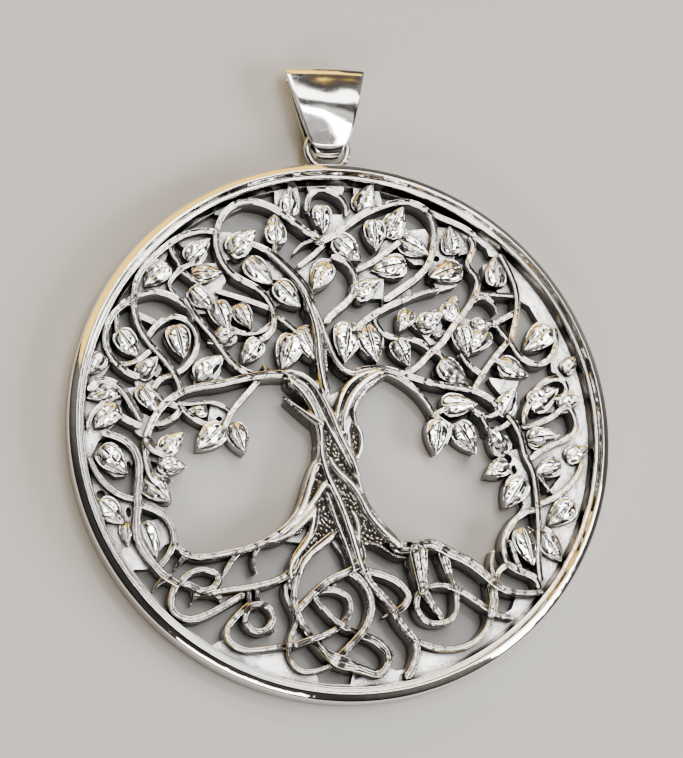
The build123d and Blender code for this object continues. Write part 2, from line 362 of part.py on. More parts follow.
# Small openings pierced through the plates
PIERCINGS = (
    Piercing(-93.7, -24.6, 1.8, 1.7, 0),
    Piercing(-83.6, -31.5, 1, 2, 0),
    Piercing(-88, -30, 0.6, 2, 45),
    Piercing(-90.8, -5.2, 1.3, 1.8, 0),
    Piercing(-83, -14, 1, 2, 0),
    Piercing(-48, 4, 1.2, 1, 0),
    Piercing(65, -13.2, 1.8, 2, 0),
    Piercing(67.2, -17.5, 1.2, 1.9, 0),
    Piercing(-8.8, -95.3, 6.6, 3, 0),
    Piercing(87.4, 13.6, 2.2, 2.4, 0),
    Piercing(42, 68.5, 1.3, 1.3, 0),
    Piercing(52, 68.5, 1.9, 1.6, 0),
    Piercing(43.2, 40, 1.2, 1.1, 0),
    Piercing(38, 36.7, 0.7, 1.6, -50),
    Piercing(-74, 54.6, 1.2, 0.8, 0),
    Piercing(-69, 5, 2, 1, 0),
)


def on_disc(places):
    """Places in hundredths of the openwork radius, in millimetres."""
    return [(x * unit, y * unit) for x, y in places]


def stem_face(stem, width_share=1.0):
    """Flat tapered stem with round ends, along a smooth route."""
    spine = Spline(*on_disc(stem.route))
    steps = 2 * (len(stem.route) - 1)
    left = []
    right = []
    for step in range(steps + 1):
        share = step / steps
        width = stem.start_width + (stem.end_width - stem.start_width) * share
        along = spine.tangent_at(share, position_mode=PositionMode.PARAMETER)
        middle = spine.position_at(share, position_mode=PositionMode.PARAMETER)
        across = Vector(-along.Y, along.X) * (width * width_share * stem_width / 2)
        left.append(middle + across)
        right.append(middle - across)
        if step == 0:
            start_tip = middle - along * across.length
    end_tip = middle + along * across.length
    with BuildSketch(mode=Mode.PRIVATE) as stroke:
        with BuildLine():
            Spline(*left)
            ThreePointArc(left[-1], end_tip, right[-1])
            Spline(*right)
            ThreePointArc(right[0], start_tip, left[0])
        make_face()
    return stroke.sketch.face()


def leaf_face(leaf, size_share=1.0):
    """Flat plump leaf with a round foot and a pointed tip."""
    length = leaf_length * leaf.size * size_share
    width = leaf_width * leaf.size * size_share
    foot = -leaf_foot_reach * length
    with BuildSketch(mode=Mode.PRIVATE) as blade:
        with BuildLine():
            Bezier(
                (foot, 0),
                (foot - leaf_foot_bulge * length, leaf_foot_fullness * width),
                (foot + leaf_tip_pull * length, leaf_tip_fullness * width),
                (foot + length, 0),
            )
            mirror(about=Plane.XZ)
        make_face()
    place = Location((leaf.x * unit, leaf.y * unit), leaf.turn)
    return blade.sketch.face().moved(place)


def plate_face(plate):
    """Flat plate with straight edges."""
    with BuildSketch(mode=Mode.PRIVATE) as panel:
        with BuildLine():
            Polyline(*on_disc(plate.corners), close=True)
        make_face()
    return panel.sketch.face()


def piercing_face(piercing):
    """Small oval opening."""
    with BuildSketch(mode=Mode.PRIVATE) as oval:
        Ellipse(piercing.half_width * unit, piercing.half_height * unit)
    place = Location((piercing.x * unit, piercing.y * unit), piercing.turn)
    return oval.sketch.face().moved(place)


def without_slits(web_face):
    """The same face, without the openings too small to cast or pierce."""
    kept = [wire for wire in web_face.inner_wires() if Face(wire).area > smallest_opening]
    return Face(web_face.outer_wire(), kept)


# Web: everything in the openwork, cut right through between the stems and leaves
with BuildSketch() as plates:
    add([plate_face(plate) for plate in PLATES])
    add([piercing_face(piercing) for piercing in PIERCINGS], mode=Mode.SUBTRACT)

with BuildSketch() as web_outline:
    Circle(openwork_radius)
    Circle(openwork_radius - rim_foot_width, mode=Mode.SUBTRACT)
    stems = CANOPY_STEMS + TRUNK_STEMS + ROOT_STEMS
    add([stem_face(stem) for stem in stems] + [leaf_face(leaf) for leaf in LEAVES] + plates.faces())

with BuildPart() as web:
    add(without_slits(web_outline.faces().sort_by(SortBy.AREA)[-1]))
    extrude(amount=web_height)


def raised(stems, top):
    """Stems that stand out of the web, up to a height."""
    foot = web_height - relief_sink
    with BuildPart(mode=Mode.PRIVATE) as relief:
        with BuildSketch(Plane.XY.offset(foot)):
            add([stem_face(stem, stem_top_share) for stem in stems])
        extrude(amount=top - foot)
    return relief.part.solids()


def raised_plates(panels, top):
    """Plates that stand out of the web, up to a height."""
    with BuildPart(mode=Mode.PRIVATE) as relief:
        with BuildSketch(Plane.XY.offset(web_height - relief_sink)):
            add([plate_face(panel) for panel in panels])
        extrude(amount=top - web_height + relief_sink)
    return relief.part.solids()


def raised_leaf(leaf):
    """Leaf body that narrows from its foot in the web to its crown."""
    with BuildPart(mode=Mode.PRIVATE) as body:
        with BuildSketch(Plane.XY.offset(web_height - relief_sink)):
            add(leaf_face(leaf, leaf_foot_share))
        with BuildSketch(Plane.XY.offset(leaf_height)):
            add(leaf_face(leaf, leaf_top_share))
        loft(ruled=True)
    return body.part.solid()


# Rim band: a bevelled back edge, a round crown, a fine step and a slanted inner wall
step_radius = openwork_radius + rim_step_width
with BuildPart() as rim:
    with BuildSketch(Plane.XZ) as rim_section:
        with BuildLine():
            back_edge = (disc_radius, rim_back_bevel)
            crown_outside = (disc_radius, rim_height - rim_crown_drop)
            crown_inside = (disc_radius - rim_crown_width, rim_height - rim_crown_inside_drop)
            Polyline(
                (openwork_radius - rim_foot_width, 0),
                (disc_radius - rim_back_bevel, 0),
                back_edge,
                crown_outside,
            )
            ThreePointArc(
                crown_outside,
                (disc_radius - rim_crown_peak, rim_height),
                crown_inside,
            )
            Polyline(
                crown_inside,
                (step_radius, rim_height - rim_step_drop),
                (openwork_radius, rim_height - rim_step_drop),
                (openwork_radius - rim_foot_width, web_height),
                (openwork_radius - rim_foot_width, 0),
            )
        make_face()
    revolve()

# Hanging ring in the plane of the disc, sunk a little into the rim and soldered to it
ring_y = disc_radius + ring_radius + ring_wire_radius - ring_sink
with BuildPart() as ring:
    with BuildSketch(Plane.YZ) as ring_section:
        with Locations((ring_y + ring_radius, ring_height)):
            Circle(ring_wire_radius)
    revolve(axis=Axis((0, ring_y, 0), (0, 0, 1)))
    with BuildSketch(Plane.XY.offset(ring_height - solder_height / 2)) as solder_outline:
        with BuildLine():
            Polyline(
                (-solder_foot_width / 2, disc_radius - ring_sink),
                (solder_foot_width / 2, disc_radius - ring_sink),
                (solder_top_width / 2, disc_radius + solder_rise),
                (-solder_top_width / 2, disc_radius + solder_rise),
                close=True,
            )
        make_face()
    extrude(amount=solder_height)

# Medallion: the pieces above are cast or soldered together into one solid
with BuildPart() as medallion:
    add(web)
    add(
        raised(CANOPY_STEMS, vine_height)
        + raised(ROOT_STEMS, root_height)
        + raised_plates(TRUNK_CORE, trunk_core_height)
        + raised(TRUNK_STEMS, trunk_height)
        + [raised_leaf(leaf) for leaf in LEAVES]
        + [rim.part, ring.part]
    )
medallion.part.label = "medallion"

# Folded bail: a band of silver bent into a flat loop that passes through the ring
hinge_y = ring_y + ring_radius
bend_y = hinge_y - bail_bend_drop
bail_bottom_y = bend_y - bail_bend_radius
bail_height = 2 * bail_belly_radius


def bail_outline(height):
    """Flat outline of the bail at a height, longer than its loop at both ends."""
    width_share = bail_back_share + (1 - bail_back_share) * height / bail_height
    lowest = BAIL_SIDES[0]
    highest = BAIL_SIDES[-1]
    side = [(width_share * row.half_width, bail_bottom_y + row.rise) for row in BAIL_SIDES]
    foot_y = bail_bottom_y + lowest.rise - bail_side_reach
    head_y = bail_bottom_y + highest.rise + bail_side_reach
    with BuildSketch(mode=Mode.PRIVATE) as outline:
        with BuildLine():
            Line((0, foot_y), (side[0][0], foot_y))
            Line((side[0][0], foot_y), side[0])
            Spline(*side)
            Line(side[-1], (side[-1][0], head_y))
            Line((side[-1][0], head_y), (0, head_y))
            mirror(about=Plane.YZ)
        make_face()
    return outline.sketch.face()


with BuildPart() as bail:
    with BuildSketch(Plane.YZ) as loop:
        with Locations((bend_y, ring_height)):
            Circle(bail_bend_radius)
        with Locations((bend_y + bail_belly_distance, bail_belly_radius)):
            Circle(bail_belly_radius)
        with Locations((bend_y + bail_top_distance, bail_top_radius)):
            Circle(bail_top_radius)
        make_hull()
        offset(amount=-bail_wall, mode=Mode.SUBTRACT)
    extrude(amount=2 * BAIL_SIDES[-1].half_width, both=True)
    for height in (-bail_side_reach, bail_height + bail_side_reach):
        with BuildSketch(Plane.XY.offset(height)):
            add(bail_outline(height))
    loft(ruled=True, mode=Mode.INTERSECT)
bail.part.label = "bail"

os.makedirs("parts", exist_ok=True)
export_step(medallion.part, "parts/medallion.step")
export_step(bail.part, "parts/bail.step")
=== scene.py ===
# %% [markdown]
# # Tree of life pendant
# The real pendant is two pieces of sterling silver. One is a cast medallion: a polished rim round a
# pierced tree with vines, leaves, a twisted trunk and knotted roots, with a small ring soldered on
# top. The other is a bail, a strip of sheet silver folded round that ring so that it can swing. The
# whole thing lies on its back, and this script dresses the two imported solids, piece by piece.

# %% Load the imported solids
from collections import namedtuple
from math import cos, hypot, pi, radians, sin

import bpy
import numpy as np
from mathutils import Matrix, Vector, noise


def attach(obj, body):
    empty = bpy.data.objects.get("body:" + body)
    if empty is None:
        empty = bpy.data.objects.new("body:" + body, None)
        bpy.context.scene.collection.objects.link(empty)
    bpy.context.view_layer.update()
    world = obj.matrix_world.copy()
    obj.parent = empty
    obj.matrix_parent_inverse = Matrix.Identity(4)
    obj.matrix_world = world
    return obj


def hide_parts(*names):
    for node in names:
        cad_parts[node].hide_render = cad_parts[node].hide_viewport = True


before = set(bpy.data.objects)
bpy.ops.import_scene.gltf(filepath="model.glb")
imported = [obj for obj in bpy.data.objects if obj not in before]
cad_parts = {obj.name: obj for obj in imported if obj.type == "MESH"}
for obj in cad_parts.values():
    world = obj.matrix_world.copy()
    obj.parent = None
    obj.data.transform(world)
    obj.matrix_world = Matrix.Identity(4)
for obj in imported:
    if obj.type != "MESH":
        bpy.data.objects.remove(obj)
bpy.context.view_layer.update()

# %% [markdown]
# ## Sizes
# All sizes are in millimetres, and are turned to metres where a mesh is finished. They repeat the
# sizes of the solids, so each new piece lies exactly where its solid is.

# %% Sizes of the medallion
mm = 0.001
disc_radius = 22.5
rim_width = 1.25
openwork_radius = disc_radius - rim_width
web_height = 1.3
stem_width = 0.55
leaf_length = 2.66
leaf_width = 2.0
print("inside the rim the openwork is", 2 * openwork_radius, "mm across")

# %% [markdown]
# ## Where the tree's parts are
# These tables are those of the casting. Places are hundredths of the openwork's radius, counted
# from the middle of the disc, so that they read like percentages. A stem is a smooth line through
# a few places, and its two widths are shares of the usual stem width.

# %% Vines of the crown, from the upper left round to the right edge
unit = openwork_radius / 100
Stem = namedtuple("Stem", "start_width end_width route")
CANOPY_STEMS = (
    Stem(1, 1, ((-79, 50), (-86, 46), (-90, 39), (-90, 31), (-85, 23.5), (-79, 20))),
    Stem(1.1, 1.1, ((-79, 52), (-79, 45), (-75.5, 35.5), (-70, 28.5), (-65, 21.5), (-62.5, 14))),
    Stem(1, 1, ((-79, 51), (-76.5, 61), (-69, 69.5), (-60, 76), (-47, 78))),
    Stem(1, 0.8, ((-77.5, 44), (-74, 42.5), (-70.5, 40.5))),
    Stem(0.9, 0.9, ((-74, 36), (-70.5, 40.5), (-64, 43.6), (-57.5, 40.5), (-55.4, 34.5),
                    (-57.5, 27.5), (-63.5, 21.5))),
    Stem(0.8, 0.8, ((-85.5, 25), (-79.5, 26), (-75, 29), (-72, 31.5))),
    Stem(0.8, 0.8, ((-86, 44), (-86, 38))),
    Stem(1.2, 1.2, ((-96.5, 15.5), (-91, 18.5), (-86, 16), (-82, 10.5), (-78.5, 4))),
    Stem(0.7, 0.7, ((-98, 1), (-96, 6), (-92, 9.8), (-86, 12.6))),
    Stem(1, 1, ((-87, 5.5), (-84, 3.6), (-79, 1))),
    Stem(1.5, 1.1, ((-15, 17.4), (-21, 20), (-29, 20.3), (-39, 18.8), (-49, 16.5),
                    (-57, 15.4), (-65, 12.2), (-71, 7))),
    Stem(1.1, 1.1, ((-71, 7), (-74.5, 1), (-76.7, -7), (-76.5, -13), (-75.3, -18))),
    Stem(0.8, 0.8, ((-75.5, 16.5), (-72.5, 14), (-69.5, 10.3))),
    Stem(0.9, 0.9, ((-72.5, 16), (-70.5, 18.6), (-65.3, 20.2))),
    Stem(0.9, 0.9, ((-71, 7.5), (-67, 9.2), (-63.5, 7), (-66, 3.8), (-72.5, 2))),
    Stem(0.9, 0.9, ((-33, 18), (-38, 12.3), (-43, 6.5), (-46, 1), (-47, -3))),
    Stem(0.8, 0.8, ((-62.5, 8), (-58.5, 3.8), (-53, 1), (-49, -1))),
    Stem(0.6, 0.6, ((-63.5, 9.5), (-58, 9.4), (-52, 9.9), (-47, 8.5), (-44, 6))),
    Stem(1.1, 1.1, ((-59, 50), (-55.5, 43.5), (-49, 35), (-42, 25), (-35, 20.6))),
    Stem(1, 1, ((-84, 48.5), (-79, 51.3), (-72, 53.4), (-65, 52), (-60, 48), (-57, 43))),
    Stem(0.8, 0.8, ((-64, 53.5), (-63.5, 60), (-61, 63), (-63, 68), (-63.5, 74))),
    Stem(0.8, 0.8, ((-62, 62), (-59.5, 63.5), (-56, 65))),
    Stem(0.8, 0.8, ((-60.5, 62), (-54, 57))),
    Stem(1, 1.1, ((-31, 34.5), (-27, 37.5), (-25.2, 43), (-27, 50), (-32, 55.5), (-41, 61),
                  (-46, 70), (-46, 79), (-41, 87.5), (-34, 90.5), (-27, 89.5), (-19, 85),
                  (-12, 79.5), (-7, 76))),
    Stem(2, 0.9, ((-11, 47), (-14, 57), (-20, 64), (-25, 69), (-34, 73.5))),
    Stem(0.8, 0.8, ((-14, 64.5), (-9, 68.5), (-4, 73))),
    Stem(1, 0.3, ((-4.5, 75), (-10, 74.5), (-15.5, 70.5))),
    Stem(0.9, 0.9, ((-10, 88), (-3, 96), (5, 91), (6, 86))),
    Stem(1.1, 1.1, ((-6, 74), (3, 79), (12, 85.5), (20, 89), (28, 91), (36, 89.5), (40.5, 84),
                    (40.5, 74), (38, 66), (33, 60), (26, 55), (20, 51))),
    Stem(0.9, 0.9, ((26, 74), (20, 69.5), (15, 66), (9, 63))),
    Stem(1, 1.1, ((0, 68), (6, 64), (8, 58), (6, 52), (0, 46.5), (-4.5, 42))),
    Stem(0.8, 0.8, ((26, 50), (33, 53), (41, 55))),
    Stem(1.2, 0.4, ((55, 50.5), (60, 51.8), (63.5, 49), (64.6, 46.3))),
    Stem(0.8, 0.8, ((57, 53.5), (64, 53), (72, 52.5))),
    Stem(1, 1, ((56, 76), (56, 70), (54, 65), (57, 60), (56, 53), (50.5, 45), (45.4, 39),
                (41, 33), (36, 28.8), (31, 24), (26, 21))),
    Stem(1, 1, ((68, 69), (71, 62), (73, 55), (72.6, 46), (70.5, 38), (69.4, 34.5))),
    Stem(0.9, 0.9, ((-25, 45), (-21.5, 42), (-17, 38))),
    Stem(0.8, 0.8, ((-42, 39), (-37, 37), (-31, 37.8), (-26.2, 41))),
    Stem(1, 1, ((25, 50), (18, 46.6), (12.6, 43.4), (7.4, 39))),
    Stem(0.9, 0.9, ((14.6, 44.2), (15.4, 40.5), (19, 36.2), (25, 34.8), (30.5, 34), (36, 29.5))),
    Stem(0.8, 0.8, ((37.4, 30.2), (39.5, 29), (41.4, 26.2))),
    Stem(1, 1, ((60, 41), (63, 40.8), (66, 37), (69, 33), (72, 28), (76, 25), (80, 24.2),
                (84.5, 26.5), (87.5, 32), (87.6, 38))),
    Stem(0.9, 0.9, ((63, 41), (68, 43.5), (72.6, 45.8))),
    Stem(0.9, 0.9, ((68, 33.5), (65, 30.5), (60.2, 25), (56.4, 20), (53, 14.6))),
    Stem(0.9, 0.9, ((49, 28), (52, 23.5), (56, 20.5))),
    Stem(1, 1, ((72, 1), (73, 5.5), (75.5, 10), (79, 15), (84, 18), (89, 17.6), (90.5, 14),
                (86, 10.5))),
    Stem(0.9, 0.9, ((72, -1), (80, 1.2), (86, 4.5), (90, 7), (93, 2), (92.5, -3), (88, -6.2),
                    (80, -9.6), (74, -13.5))),
    Stem(1, 1, ((66, 3), (69, -2), (70.6, -8), (71.4, -13), (73.2, -17), (74.5, -24),
                (74.6, -35), (74.4, -43), (73.4, -52), (73.5, -61))),
    Stem(0.9, 0.9, ((74.6, -32.2), (83, -28.6), (90, -23.2), (94.2, -16))),
    Stem(0.8, 0.8, ((75, -41), (80, -44), (82.2, -49.4))),
    Stem(0.6, 0.6, ((76.5, -21), (80, -26))),
    Stem(1, 1, ((73, -34.2), (67.8, -35.8), (62.5, -41), (59.8, -47.5), (61.4, -55),
                (66.2, -58.2), (71.4, -61), (72.4, -64))),
    Stem(0.9, 0.9, ((61.4, -55), (57, -57.8), (55, -61.5))),
    Stem(1.1, 1, ((3, 20.6), (9, 22.4), (16, 22.8), (23, 21), (33, 17.5), (43, 15.4),
                  (51, 14), (57, 11.5), (61, 8))),
    Stem(1.2, 0.8, ((5, 13.8), (11, 19.8), (17, 21.4), (25, 17.8), (31, 12.2), (35.8, 4.2))),
    Stem(0.8, 0.8, ((-47, 54), (-40, 51.8), (-33, 49.5), (-27, 47))),
    Stem(0.9, 0.9, ((39, 87.5), (45, 84.5), (51, 82), (57, 78))),
    Stem(1.5, 1.2, ((-76, -5), (-72.5, -9), (-69, -10))),
    Stem(0.8, 0.8, ((52.5, 5.5), (57, 3.4), (62, 5))),
    Stem(0.8, 0.8, ((52.5, 5), (56.5, 0), (57, -3))),
    Stem(0.8, 0.8, ((57, -1.5), (62, -1.5), (66, 1))),
    Stem(1.2, 0.3, ((-29, 21.5), (-30, 24.8))),
    Stem(0.8, 0.8, ((-23, 75), (-24, 70))),
    Stem(0.8, 0.8, ((66, 24), (62, 26.5))),
    Stem(0.8, 0.8, ((35.5, 4), (41, 6.8))),
    Stem(0.8, 0.8, ((35.8, 4.2), (38.5, 2), (43, -1))),
)
print(len(CANOPY_STEMS), "vines")

# %% Twisted strands of the trunk, from the leader and the crotch down to the root crown
TRUNK_STEMS = (
    Stem(1, 1.9, ((-13, 52), (-10.5, 44), (-9, 36), (-8.8, 28), (-8.2, 20), (-7.2, 14))),
    Stem(0.9, 1, ((-11.5, 50), (-7.5, 42), (-5.5, 35), (-3.2, 28), (0, 23), (5, 20.8))),
    Stem(0.6, 0.6, ((-9.5, 46), (-7, 38), (-6, 31), (-6, 24), (-6.5, 16))),
    Stem(1, 1.3, ((-22, 21), (-14.5, 19.5), (-10.5, 15.5), (-7.5, 10), (-5, 4), (-3, -2),
                  (-0.5, -8), (2, -13.5), (3.5, -19))),
    Stem(0.9, 0.8, ((-21, 19), (-14.5, 15.5), (-11, 10), (-8.5, 4), (-6, -1.5), (-3, -7.5),
                    (0, -14), (3, -20.5))),
    Stem(1.5, 1.2, ((-20.5, 17.5), (-17, 14), (-13.5, 9), (-11, 3), (-9.8, -3), (-10, -9),
                    (-11, -14))),
    Stem(1.1, 0.9, ((14, 21.5), (8, 20), (3, 17), (-0.5, 12), (-2.3, 7), (-3, 2))),
    Stem(1.4, 1.2, ((15, 20.5), (10, 18), (5, 13.5), (2, 9), (0, 3.5), (-0.5, -2))),
    Stem(0.6, 0.8, ((17, 20), (11, 15.8), (6.5, 11), (4.3, 7), (4, 2), (4.6, -2))),
    Stem(1.2, 0.7, ((1.5, 2), (0.9, -4), (1.7, -9), (3.8, -14))),
    Stem(1, 0.7, ((4.6, -0.5), (6.1, -4.5), (5.6, -9), (4, -13.5))),
    Stem(1.1, 1.5, ((-6.5, -13.5), (-4, -18), (0, -22), (3.5, -27), (6.5, -33.5), (11, -40),
                    (18, -47))),
    Stem(0.6, 0.6, ((-5, -4), (-2.5, -10), (0, -15.5), (2.5, -20.5))),
    Stem(0.9, 1.1, ((3.4, -18), (4.8, -25), (7.5, -32), (12, -38.5), (18, -45.5))),
    Stem(1.4, 1.2, ((-10, -8), (-9.3, -15), (-7.2, -22), (-4.2, -29), (-1.8, -36), (0.2, -43),
                    (1.8, -50), (3.5, -56))),
    Stem(1, 1, ((-8.5, -27), (-6.8, -33), (-4.6, -40), (-2, -48), (0, -56))),
    Stem(0.9, 0.8, ((1, -34), (2.8, -39), (2.6, -44), (2.5, -50))),
    Stem(1, 0.8, ((-10.5, -12), (-13.5, -18), (-15.3, -24), (-17.5, -30), (-21.5, -36),
                  (-27, -41))),
    Stem(1.2, 0.8, ((-9.5, -23), (-13, -28), (-18, -34), (-24.5, -39.5))),
    Stem(1.2, 0.8, ((-14, -33), (-19, -38), (-24, -42), (-32, -44.5))),
    Stem(0.9, 0.9, ((-13.5, -32), (-15, -39), (-17.5, -45), (-22.5, -51), (-24, -58))),
    Stem(1, 0.9, ((-7.5, -43), (-12.5, -46.8), (-17.5, -51), (-20.5, -57))),
    Stem(1.6, 0.6, ((-10, 1), (-16, 5.5), (-22, 10.5))),
    Stem(0.6, 0.6, ((3, -46.6), (6.2, -45.8), (10, -46.6), (15, -49.8), (21, -51.5))),
)
print(len(TRUNK_STEMS), "trunk strands")

# %% Roots and the knotwork below the trunk
ROOT_STEMS = (
    Stem(1.4, 1, ((-12, -15), (-15.5, -23), (-19.5, -33), (-26, -40), (-36, -45.5),
                  (-50, -48.8), (-61, -49), (-66.6, -45))),
    Stem(1, 1, ((-67.8, -45), (-67.4, -41), (-69.4, -35.4), (-74, -31.6), (-80.6, -29.4))),
    Stem(1, 1, ((-67.8, -45), (-70, -49), (-73.4, -52.8))),
    Stem(1.2, 1.2, ((-92, -2), (-86, -4), (-81, -8.5), (-79.5, -14), (-80, -22), (-80.8, -33),
                    (-80.6, -43), (-77, -49.5), (-72.6, -55), (-66.6, -59.4))),
    Stem(0.9, 0.9, ((-97.8, -11.8), (-94.6, -18.2), (-89.4, -23.8), (-82, -27))),
    Stem(1.1, 1.1, ((-66.8, -59), (-69, -64), (-68.6, -69.5), (-64.2, -72.4), (-57, -71.4),
                    (-49, -67.6), (-43, -64.5))),
    Stem(1, 1, ((-65.8, -59), (-60.6, -55), (-55, -54.6), (-51.6, -57), (-51.8, -59.2))),
    Stem(1, 1, ((-51.6, -57.6), (-52.4, -60), (-55, -61.8), (-58.4, -62), (-61, -60.4),
                (-64.5, -59.4))),
    Stem(1.2, 1, ((-20.6, -50), (-24, -56), (-31.8, -59.8), (-43, -61.8), (-53, -63))),
    Stem(0.9, 0.5, ((-43.8, -48.6), (-48.6, -55), (-51, -60))),
    Stem(0.9, 0.3, ((-36, -46.5), (-37.8, -51), (-36.8, -55.3))),
    Stem(1.2, 0.2, ((-63, -49), (-65.5, -51.5), (-67, -53.4))),
    Stem(1.2, 0.2, ((-60, -61.5), (-60, -64), (-61.4, -66.6))),
    Stem(1.2, 0.2, ((-70, -57), (-73, -58.4), (-75.4, -61.4))),
    Stem(1.2, 1.2, ((-7.8, -42.6), (-14.2, -47.4), (-19.5, -53), (-22.5, -61), (-23, -69),
                    (-19.5, -77.5), (-14, -85.5), (-8, -91), (1, -93.5), (8, -95),
                    (11.3, -90), (8, -84), (2.5, -81))),
    Stem(0.8, 0.8, ((-26, -61), (-25.5, -67), (-23, -73.5), (-25.4, -81), (-26, -88),
                    (-23, -92.3), (-16.8, -93.2), (-11, -91.5))),
    Stem(1, 1, ((-40.6, -68.2), (-47, -73.8), (-49.3, -78.5), (-46, -83.2), (-38, -84.8),
                (-27, -83.8))),
    Stem(1, 1, ((-37.6, -68), (-33.6, -68.6), (-31.6, -72), (-33, -76), (-36.8, -77.8))),
    Stem(1, 1, ((-35.4, -77.6), (-39, -77.4), (-41.8, -74.4), (-41.2, -70), (-37, -68))),
    Stem(0.8, 0.8, ((-40.3, -62.5), (-40.3, -68.5))),
    Stem(0.8, 0.8, ((-37, -62.5), (-37, -68.5))),
    Stem(0.8, 0.3, ((-35, -77), (-31, -77.6))),
    Stem(1.3, 1.1, ((2.5, -46), (2, -54), (-1, -56), (-8, -58.7), (-13.4, -62.4),
                    (-18, -66.5), (-22.5, -70.6))),
    Stem(1, 1, ((-13.4, -63.6), (-7.4, -63.4), (-2.5, -66.5), (-2.5, -72), (-8, -78),
                (-15, -80.8), (-23, -83.2))),
    Stem(1, 1, ((-15, -66.6), (-11, -71.6), (-6, -76.5), (1, -79.8), (8, -83), (12.4, -88))),
    Stem(1, 1, ((-15, -81), (-12, -86.2), (-6, -89), (1, -92.5), (6, -94.5))),
    Stem(1.2, 1.2, ((-1, -57), (5, -64), (6, -70), (4, -76.5), (-1, -82.5), (-7, -88))),
    Stem(1.3, 1.3, ((3.5, -55), (7, -62), (13, -69.4), (17.8, -77.8), (22, -84), (21.8, -90),
                    (18.5, -96))),
    Stem(1.2, 1.2, ((3, -56), (11, -58), (18, -62), (20.5, -66.5), (18, -70.6), (14.5, -72))),
    Stem(1, 1, ((14.5, -71.5), (18, -78.5), (26, -84.8), (36, -86.8), (45, -84.5),
                (51, -78.5), (52.3, -74))),
    Stem(2.2, 1, ((17, -47.5), (25, -47.6), (31, -47.2), (38, -50.4), (45, -54),
                  (51.4, -59.4), (57, -64.2), (65, -66.5), (71, -66.5))),
    Stem(1, 1, ((29.8, -63), (35, -62.8), (43, -66), (51, -71.8), (60.6, -75.8))),
    Stem(1, 1, ((26.4, -64), (23.6, -70), (26.5, -75.6), (32, -77), (37.4, -75), (39.3, -69),
                (38.6, -62))),
    Stem(1.4, 1, ((26.4, -64.5), (29.5, -69.5), (33, -74.8))),
    Stem(3.2, 1.6, ((25, -50), (25.7, -57), (26.4, -65))),
    Stem(1.6, 1.6, ((53.5, -63.5), (53.8, -69), (52.5, -74))),
    Stem(1.8, 1, ((35, -50.5), (36.6, -57), (38.6, -63))),
    Stem(0.9, 0.5, ((55, -61.6), (54.2, -56), (55.6, -50))),
    Stem(1.2, 0.8, ((-13.4, -33), (-15.4, -41.4), (-22.5, -51), (-24.5, -57), (-24.5, -62))),
    Stem(0.6, 0.6, ((-60, -63.5), (-56.6, -63.4), (-50.6, -64.8))),
    Stem(0.8, 0.8, ((62.5, -46.5), (63.5, -51), (65.5, -57))),
    Stem(0.8, 0.3, ((14.5, -72), (11.5, -73.4))),
    Stem(1, 0.4, ((-70.5, -19), (-68, -20))),
)
print(len(ROOT_STEMS), "roots")

# %% [markdown]
# Where two roots cross, one lies over the other, as in a plait. Each crossing has its place, and
# the heading in degrees of the root that passes over.

# %% Crossings of the knotwork
Crossing = namedtuple("Crossing", "x y over")
CROSSINGS = (
    Crossing(-17, -81, 15), Crossing(-4.5, -75.5, -42), Crossing(1, -79.5, 54),
    Crossing(-8, -88.5, -28), Crossing(14, -71.5, -58), Crossing(-14, -64.5, -50),
    Crossing(-58, -62, 0), Crossing(-38, -68, 20), Crossing(53, -66, -15),
    Crossing(-26, -83.5, 90),
)
print(len(CROSSINGS), "crossings")

# %% [markdown]
# A leaf has the place of its middle, the turn of its tip in degrees, and its size as a share of the
# usual leaf.

